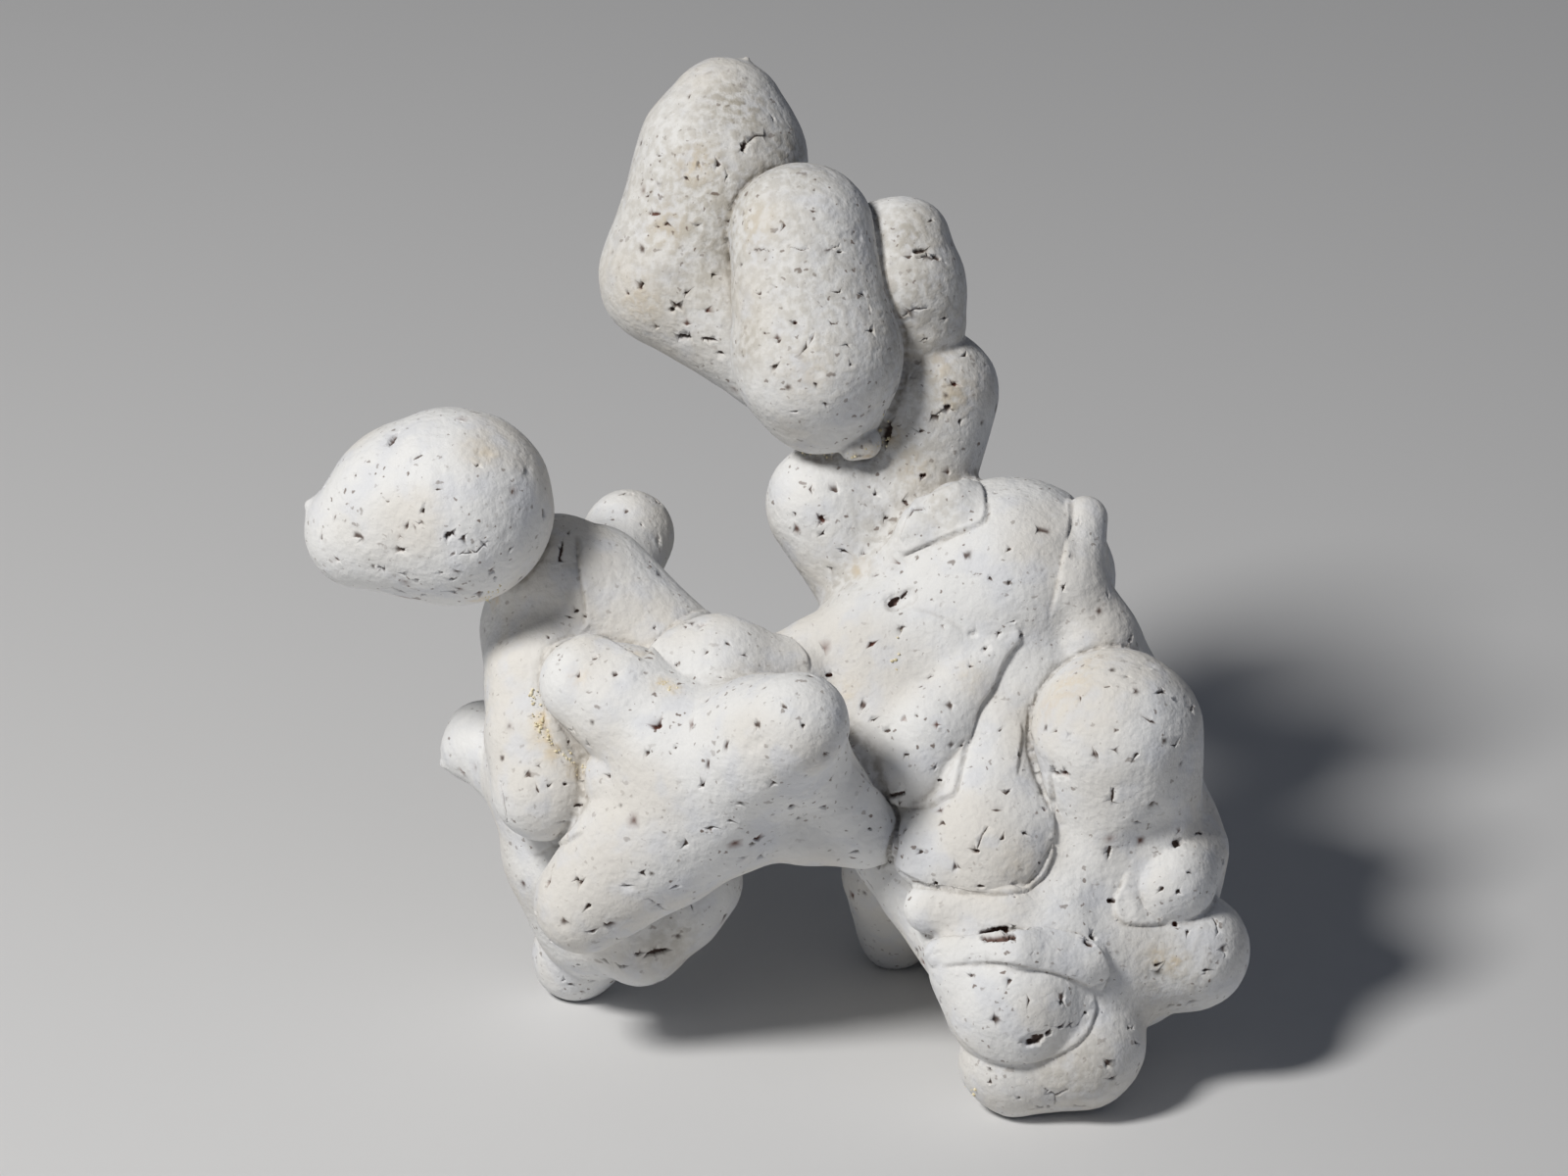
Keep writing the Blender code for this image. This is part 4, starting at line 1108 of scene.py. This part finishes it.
SOIL_AND_SHADE = (
    (-7.0, 38.0, 14.0, 0.7), (2.0, 30.0, 11.0, 0.5), (13.0, 28.0, 10.0, 0.6), (13.0, 14.0, 7.0, 0.45),
    (-5.0, 49.0, 5.0, 0.95), (-8.0, 44.0, 5.0, 0.72), (0.5, 44.0, 4.5, 0.8), (-12.0, 37.0, 4.0, 0.48),
    (-6.0, 38.0, 5.0, 0.48), (-8.0, 30.0, 4.0, 0.56), (-4.0, 25.0, 4.0, 0.64), (2.0, 42.0, 4.0, 0.56),
    (1.0, 37.0, 4.0, 0.48), (13.0, 36.0, 4.0, 0.8), (14.0, 31.0, 4.0, 0.72), (15.0, 27.0, 3.5, 0.56),
    (16.0, 20.0, 5.0, 0.56), (13.0, 14.0, 4.0, 0.48), (9.0, 6.0, 4.0, 0.4), (16.0, 8.0, 3.0, 0.48),
    (40.0, -40.0, 5.0, 0.48), (30.0, -50.0, 5.0, 0.48), (-12.0, -36.0, 4.0, 0.48), (6.0, 2.0, 4.0, 0.4),
)


def patch_strength(points, stains):
    """How strongly each point lies in a listed patch, fading out round the middle of each."""
    table = np.array(stains)
    centres, seen = seen_on_stone(table[:, 0], table[:, 1])
    shade = np.zeros(len(points))
    for centre, (_, _, radius, strength) in zip(centres[seen], table[seen]):
        gap = points - centre
        near = (gap * gap).sum(axis=1) / (radius * radius)
        shade = np.maximum(shade, strength * np.exp(-near))
    return shade


# The crease and valley masks are painted shade in the hollows, with a little dirt. The soil mask is old
# soil with painted shade on the fingers.
keep_on_mesh(stone, "crease", crease)
keep_on_mesh(stone, "valley_shade", closed_in(skin_points, skin_normals, VALLEY_SHADE_STEP_MM))
keep_on_mesh(stone, "ochre", patch_strength(skin_points, STAINS))
keep_on_mesh(stone, "soil_and_shade", patch_strength(skin_points, SOIL_AND_SHADE))
print("stains:", len(STAINS) + len(SOIL_AND_SHADE))

# %% [markdown]
# ## Standing it up
# The stone is turned from the show side to its stance, and its three feet are worn flat where
# they meet the surface. A plane cuts them off, and the small holes are filled.

# %% Feet
def wear_feet(mesh):
    work = bmesh.new()
    work.from_mesh(mesh)
    everything = work.verts[:] + work.edges[:] + work.faces[:]
    cut = bmesh.ops.bisect_plane(work, geom=everything, dist=1e-7, plane_co=(0, 0, 0),
                                 plane_no=(0, 0, -1), clear_outer=True)
    rim = [part for part in cut["geom_cut"] if isinstance(part, bmesh.types.BMEdge)]
    filled = bmesh.ops.holes_fill(work, edges=rim, sides=0)
    bmesh.ops.triangulate(work, faces=filled["faces"])
    bmesh.ops.recalc_face_normals(work, faces=work.faces[:])
    work.to_mesh(mesh)
    work.free()


set_mesh_points(stone, standing(mesh_points(stone)))
wear_feet(stone)
stone.shade_smooth()
stone.name = "weathered_nodule"
nodule = bpy.data.objects.new("weathered_nodule", stone)
bpy.context.scene.collection.objects.link(nodule)
print("nodule:", len(stone.polygons), "triangles")

# %% [markdown]
# ## The finish
# Menilite weathers to a white, chalky skin that scatters light and hardly shines. Its colours
# are set as the hex values a painter would pick, turned to the linear values Blender wants.
# One small function adds a node with its settings and its links, so that a material reads as
# a list. The sockets of a Mix node share their names, so they are picked by number.

# %% Helpers for materials
def linear(hex_colour):
    """An sRGB hex colour as linear red, green, blue and alpha."""
    parts = [int(hex_colour[place:place + 2], 16) / 255.0 for place in (1, 3, 5)]
    curve = [part / 12.92 if part <= 0.04045 else ((part + 0.055) / 1.055) ** 2.4 for part in parts]
    return (*curve, 1.0)


def add_node(material, kind, settings, inputs):
    """Adds a node. Inputs are values, or sockets of other nodes to link from."""
    tree = material.node_tree
    node = tree.nodes.new(kind)
    for name, value in settings.items():
        setattr(node, name, value)
    for name, value in inputs.items():
        if isinstance(value, bpy.types.NodeSocket):
            tree.links.new(value, node.inputs[name])
        else:
            node.inputs[name].default_value = value
    return node


def new_material(name, roughness, ior):
    material = bpy.data.materials.new(name)
    material.use_nodes = True
    shader = material.node_tree.nodes["Principled BSDF"]
    shader.inputs["Roughness"].default_value = roughness
    shader.inputs["IOR"].default_value = ior
    return material, shader


SMOOTH = {"interpolation_type": "SMOOTHSTEP"}
BLEND = {"data_type": "RGBA"}
FACTOR, FIRST, SECOND, MIXED = 0, 6, 7, 2
print("mid grey is", [round(part, 3) for part in linear("#808080")])

# %% [markdown]
# Weathered opal has pores of 0.1 to 0.4 mm, too fine to model, and drawn up to 0.6 mm wide so
# that they show. A Voronoi pattern puts one at the heart of each cell, and the cell's own colour
# draws how large and how dark it is. Many come out too small to see. One layer has round pores,
# and the other has slots that lie level, as many do on the real stone.

# %% Pores
# The darkness of each pore is painted shade of a hole too fine to model, with a brown tint.
NO_PORE_BELOW = 0.05
SMALLEST_SHARE = 0.001
PALEST_PORE = 0.15
PORE_EDGE = (0.7, 1.3)


def pore_layer(material, place, cell_mm, pore_mm, stretch):
    """Pores of about one size: a mask that is one in a pore and nought between."""
    turned = add_node(material, "ShaderNodeMapping", {}, {"Vector": place, "Scale": stretch})
    cells = add_node(material, "ShaderNodeTexVoronoi", {"feature": "F1"},
                     {"Vector": turned.outputs[0], "Scale": 1.0 / (cell_mm * MM)})
    chance = add_node(material, "ShaderNodeSeparateColor", {}, {"Color": cells.outputs["Color"]})
    radius = add_node(material, "ShaderNodeMapRange", SMOOTH,
                      {"Value": chance.outputs[0], "From Min": NO_PORE_BELOW, "From Max": 1.0,
                       "To Min": SMALLEST_SHARE, "To Max": 0.5 * pore_mm / cell_mm})
    share = add_node(material, "ShaderNodeMath", {"operation": "DIVIDE"},
                     {0: cells.outputs["Distance"], 1: radius.outputs[0]})
    hole = add_node(material, "ShaderNodeMapRange", SMOOTH,
                    {"Value": share.outputs[0], "From Min": PORE_EDGE[0], "From Max": PORE_EDGE[1],
                     "To Min": 1.0, "To Max": 0.0})
    dark = add_node(material, "ShaderNodeMapRange", SMOOTH,
                    {"Value": chance.outputs[1], "From Min": 0.0, "From Max": 1.0,
                     "To Min": PALEST_PORE, "To Max": 1.0})
    return add_node(material, "ShaderNodeMath", {"operation": "MULTIPLY"},
                    {0: hole.outputs[0], 1: dark.outputs[0]}).outputs[0]


PORE_LAYERS = (("round pores", 0.8, 0.4, (1.0, 1.0, 1.0)), ("level pores", 1.5, 0.58, (0.5, 1.1, 1.3)))
STRAY_CELL_MM = 0.4
STRAY_MM = 0.5
print(len(PORE_LAYERS), "layers of pores")

# %% [markdown]
# The chalk is painted in layers, as a model maker would. Each layer has a mask, which is one
# where the layer covers. Noise of three sizes gives broad clouds, small clouds and grain, and
# the mesh tells where pits, creases, valleys and stains are. Two short tables turn these into
# the masks: ranges, that say between which values a mask goes from one strength to another, and
# sums, that are worked from the top down. Each broad cloud also makes its pores stronger or
# weaker, because the real skin is pitted in patches.

# %% Masks of the layers
CLOUDS = {"broad": (13.0, 1.0), "small": (3.5, 2.0), "grain": (0.9, 3.0)}
RANGES = (
    ("warm", "broad", 0.42, 0.65, 0.0, 0.8), ("cool", "small", 0.45, 0.7, 0.0, 0.6),
    ("speck", "grain", 0.35, 0.65, 0.3, 1.0), ("patchy", "broad", 0.38, 0.62, 0.85, 0.35),
    ("pit_tint_and_shade", "pit_tint_and_shade", 0.3, 0.9, 0.0, 0.9),
)
# The crease and valley masks hold painted shade, so the sum for the creases is painted shade with a
# little dirt.
SUMS = (
    ("soil_and_shade", "MULTIPLY", "soil_and_shade", "speck"), ("ochre", "MULTIPLY", "ochre", "speck"),
    ("crease", "MULTIPLY", "crease", 0.42), ("valley_shade", "MULTIPLY", "valley_shade", 0.18),
    ("dirt_and_shade", "ADD", "crease", "valley_shade"), ("dirt_and_shade", "MULTIPLY", "dirt_and_shade", "speck"),
    ("pore_tint_and_shade", "MAXIMUM", "round pores", "level pores"), ("pore_tint_and_shade", "MULTIPLY", "pore_tint_and_shade", "patchy"),
    ("rust", "MULTIPLY", "rust", 0.85),
)


def chalk_masks(material, place):
    """All masks of the chalk, by name."""
    masks = {name: add_node(material, "ShaderNodeAttribute", {"attribute_name": name}, {}).outputs["Fac"]
             for name in ("pit_tint_and_shade", "rust", "crease", "valley_shade", "ochre", "soil_and_shade")}
    for name, (size_mm, detail) in CLOUDS.items():
        masks[name] = add_node(material, "ShaderNodeTexNoise", {},
                               {"Vector": place, "Scale": 1.0 / (size_mm * MM),
                                "Detail": detail}).outputs[0]
    stray = add_node(material, "ShaderNodeTexNoise", {},
                     {"Vector": place, "Scale": 1.0 / (STRAY_CELL_MM * MM), "Detail": 0.0})
    ragged = add_node(material, "ShaderNodeVectorMath", {"operation": "MULTIPLY_ADD"},
                      {0: stray.outputs["Color"], 1: (STRAY_MM * MM,) * 3, 2: place})
    for name, cell_mm, pore_mm, stretch in PORE_LAYERS:
        masks[name] = pore_layer(material, ragged.outputs[0], cell_mm, pore_mm, stretch)
    for name, source, low, high, weak, strong in RANGES:
        masks[name] = add_node(material, "ShaderNodeMapRange", SMOOTH,
                               {"Value": masks[source], "From Min": low, "From Max": high,
                                "To Min": weak, "To Max": strong}).outputs[0]
    for name, operation, first, second in SUMS:
        masks[name] = add_node(material, "ShaderNodeMath", {"operation": operation},
                               {0: masks[first], 1: masks.get(second, second)}).outputs[0]
    return masks


print(len(RANGES), "ranges and", len(SUMS), "sums")

# %% [markdown]
# The coats go on in order. Warmer and cooler clouds keep the white from looking like paint.
# Then soil and painted shade dull some tips, painted shade with a little dirt darkens the creases,
# ochre stains a few places, and the pores and the pits get floors of painted shade with a brown
# tint, or rusty ones. A bump of a fifth of a millimetre roughens the skin, and a high roughness
# makes it scatter light evenly and hardly shine.

# %% Chalky opal
CHALK_WHITE = "#E6E6E5"
# The coats for the creases, the fingers, the pores and the pits are partly painted shade.
COATS = {
    "warm": "#DDD9D2", "cool": "#D8DADF", "soil_and_shade": "#A9A294", "dirt_and_shade": "#857B6D",
    "ochre": "#D8BC85", "pore_tint_and_shade": "#6C5B50", "pit_tint_and_shade": "#463830", "rust": "#6B3D2E",
}
SKIN_BUMP_MM = 0.2


def chalky_opal():
    material, shader = new_material("weathered_opal", 0.85, 1.45)
    place = add_node(material, "ShaderNodeTexCoord", {}, {}).outputs["Object"]
    masks = chalk_masks(material, place)
    colour = linear(CHALK_WHITE)
    for name, coat in COATS.items():
        layer = add_node(material, "ShaderNodeMix", BLEND,
                         {FACTOR: masks[name], FIRST: colour, SECOND: linear(coat)})
        colour = layer.outputs[MIXED]
    material.node_tree.links.new(colour, shader.inputs["Base Color"])
    bump = add_node(material, "ShaderNodeBump", {},
                    {"Height": masks["grain"], "Distance": SKIN_BUMP_MM * MM, "Strength": 1.0})
    material.node_tree.links.new(bump.outputs[0], shader.inputs["Normal"])
    return material


stone.materials.clear()
stone.materials.append(chalky_opal())
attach(nodule, "root")
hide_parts("menilite_nodule")
print("finish:", stone.materials[0].name)

# %% [markdown]
# ## Clay crumbs
# Grains of the yellow clay that the stone grew in still stick in a few creases. Each grain is
# a small ball squeezed out of round, half sunk in the skin. There are too few for an instancer
# to be worth its while, so a loop adds them all to one mesh. The lines along which they lie
# are listed: places (across, up), how many, and how far they stray.

# %% Crumbs in the creases
CRUMB_LINES = (
    (((-25.6, -10.5), (-24.8, -14.3), (-22.9, -16.3), (-20.0, -19.1)), 90, 0.35),
    (((-13.0, -9.6), (-10.8, -10.4)), 34, 0.25),
    (((-30.3, -1.2), (-29.6, -0.4), (-28.7, 0.7)), 26, 0.2),
    (((8.6, 14.0), (10.2, 15.0), (10.6, 17.5)), 22, 0.3),
    (((2.0, 13.6), (5.0, 13.5), (7.4, 13.2)), 14, 0.2),
    (((11.6, -4.4), (11.2, -8.5)), 8, 0.3),
    (((18.5, -51.0), (19.5, -51.6)), 6, 0.3),
    (((-4.0, 17.5), (-3.0, 16.0)), 5, 0.25),
)
CRUMB_SEED = 5
SMALLEST_CRUMB_MM = 0.06
CRUMB_SPREAD_MM = 0.12
print(len(CRUMB_LINES), "lines of crumbs")


def crumb_places(draw):
    rows = []
    for line, count, stray in CRUMB_LINES:
        for _ in range(count):
            share = float(draw.random()) * (len(line) - 1)
            index = min(int(share), len(line) - 2)
            start, end = np.array(line[index]), np.array(line[index + 1])
            place = start + (share - index) * (end - start) + draw.normal(size=2) * stray
            rows.append((place[0], place[1],
                         SMALLEST_CRUMB_MM + CRUMB_SPREAD_MM * float(draw.random()) ** 2))
    table = np.array(rows)
    points, seen = seen_on_stone(table[:, 0], table[:, 1])
    return points[seen], table[seen, 2]


# %% [markdown]
# Each ball is dented by noise at its points and then squeezed, because a perfect ball this small
# still reads as a bead. It is turned to the standing stone like every other place.

# %% Crumbs as one mesh
CRUMB_DENTS = 0.35
CRUMB_DENT_MM = 0.25
CRUMB_SQUEEZE = (0.65, 1.25)


def make_crumbs():
    draw = np.random.default_rng(CRUMB_SEED)
    work = bmesh.new()
    for centre, radius in zip(*crumb_places(draw)):
        made = bmesh.ops.create_icosphere(work, subdivisions=2, radius=radius * MM)
        for vert in made["verts"]:
            dent = noise.noise(vert.co / (CRUMB_DENT_MM * MM) + Vector(centre))
            vert.co *= 1.0 + CRUMB_DENTS * dent
        squeeze = Vector(draw.uniform(*CRUMB_SQUEEZE, size=3))
        bmesh.ops.scale(work, vec=squeeze, verts=made["verts"])
        place = Vector(standing(centre[None, :])[0])
        bmesh.ops.translate(work, vec=place, verts=made["verts"])
    mesh = bpy.data.meshes.new("clay_crumbs")
    work.to_mesh(mesh)
    work.free()
    mesh.shade_smooth()
    crumbs = bpy.data.objects.new("clay_crumbs", mesh)
    bpy.context.scene.collection.objects.link(crumbs)
    return crumbs


crumbs = make_crumbs()
print("crumbs:", len(crumbs.data.polygons), "triangles")

# %% [markdown]
# Dry clay is rough, dull and crumbly, and paler where it has lost its water. So each crumb gets
# patches of two yellows, half a millimetre wide, and a slight bump.

# %% Dry clay
CLAY_PATCH_MM = 0.5
CLAY_BUMP_MM = 0.05


def dry_clay():
    material, shader = new_material("dry_clay", 0.95, 1.5)
    place = add_node(material, "ShaderNodeTexCoord", {}, {}).outputs["Object"]
    patch = add_node(material, "ShaderNodeTexNoise", {},
                     {"Vector": place, "Scale": 1.0 / (CLAY_PATCH_MM * MM)})
    shade = add_node(material, "ShaderNodeMapRange", SMOOTH,
                     {"Value": patch.outputs[0], "From Min": 0.35, "From Max": 0.65,
                      "To Min": 0.0, "To Max": 1.0})
    colour = add_node(material, "ShaderNodeMix", BLEND,
                      {FACTOR: shade.outputs[0], FIRST: linear("#DDCFA6"), SECOND: linear("#EEE6CC")})
    material.node_tree.links.new(colour.outputs[MIXED], shader.inputs["Base Color"])
    bump = add_node(material, "ShaderNodeBump", {},
                    {"Height": patch.outputs[0], "Distance": CLAY_BUMP_MM * MM, "Strength": 1.0})
    material.node_tree.links.new(bump.outputs[0], shader.inputs["Normal"])
    return material


crumbs.data.materials.append(dry_clay())
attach(crumbs, "root")
print("crumbs' finish:", crumbs.data.materials[0].name)

# %% [markdown]
# ## Floor and light
# The stone stands on a plain pale board. Its matt paint takes a soft shadow and throws some light
# back up under the lobes. The board is far wider than the view, so that no edge shows.

# %% Floor
FLOOR_SIZE_M = 6.0


def make_floor():
    work = bmesh.new()
    bmesh.ops.create_grid(work, x_segments=1, y_segments=1, size=FLOOR_SIZE_M / 2.0)
    mesh = bpy.data.meshes.new("floor")
    work.to_mesh(mesh)
    work.free()
    floor = bpy.data.objects.new("floor", mesh)
    bpy.context.scene.collection.objects.link(floor)
    material, shader = new_material("pale_board", 0.9, 1.45)
    shader.inputs["Base Color"].default_value = linear("#DADADA")
    mesh.materials.append(material)
    return floor


floor = make_floor()
print("floor:", floor.name, FLOOR_SIZE_M, "m wide")

# %% [markdown]
# A lamp high on the left in front gives the soft shadows that tell one lobe from the next. A
# broad, weak and bluer one fills from the right, and a pale world keeps the creases from going
# black. Both lamps aim at the middle of the stone.

# %% Lamps
AIM_M = (0.0, 0.0, 0.045)


def lamp(name, place, size, power, colour):
    light = bpy.data.lights.new(name, "AREA")
    light.shape = "DISK"
    light.size = size
    light.energy = power
    light.color = linear(colour)[:3]
    thing = bpy.data.objects.new(name, light)
    thing.location = place
    aim = Vector(AIM_M) - Vector(place)
    thing.rotation_euler = aim.to_track_quat("-Z", "Y").to_euler()
    bpy.context.scene.collection.objects.link(thing)
    print("lamp:", name, power, "W")


lamp("key", (-0.38, -0.32, 0.61), 0.18, 5.1, "#FEFCF9")
lamp("fill", (0.60, -0.50, 0.30), 0.60, 0.25, "#CCDCFF")
world = bpy.data.worlds.new("studio")
world.use_nodes = True
sky = world.node_tree.nodes["Background"]
sky.inputs["Color"].default_value = linear("#CED6E6")
sky.inputs["Strength"].default_value = 0.09
bpy.context.scene.world = world
bpy.context.scene.view_settings.view_transform = "Standard"
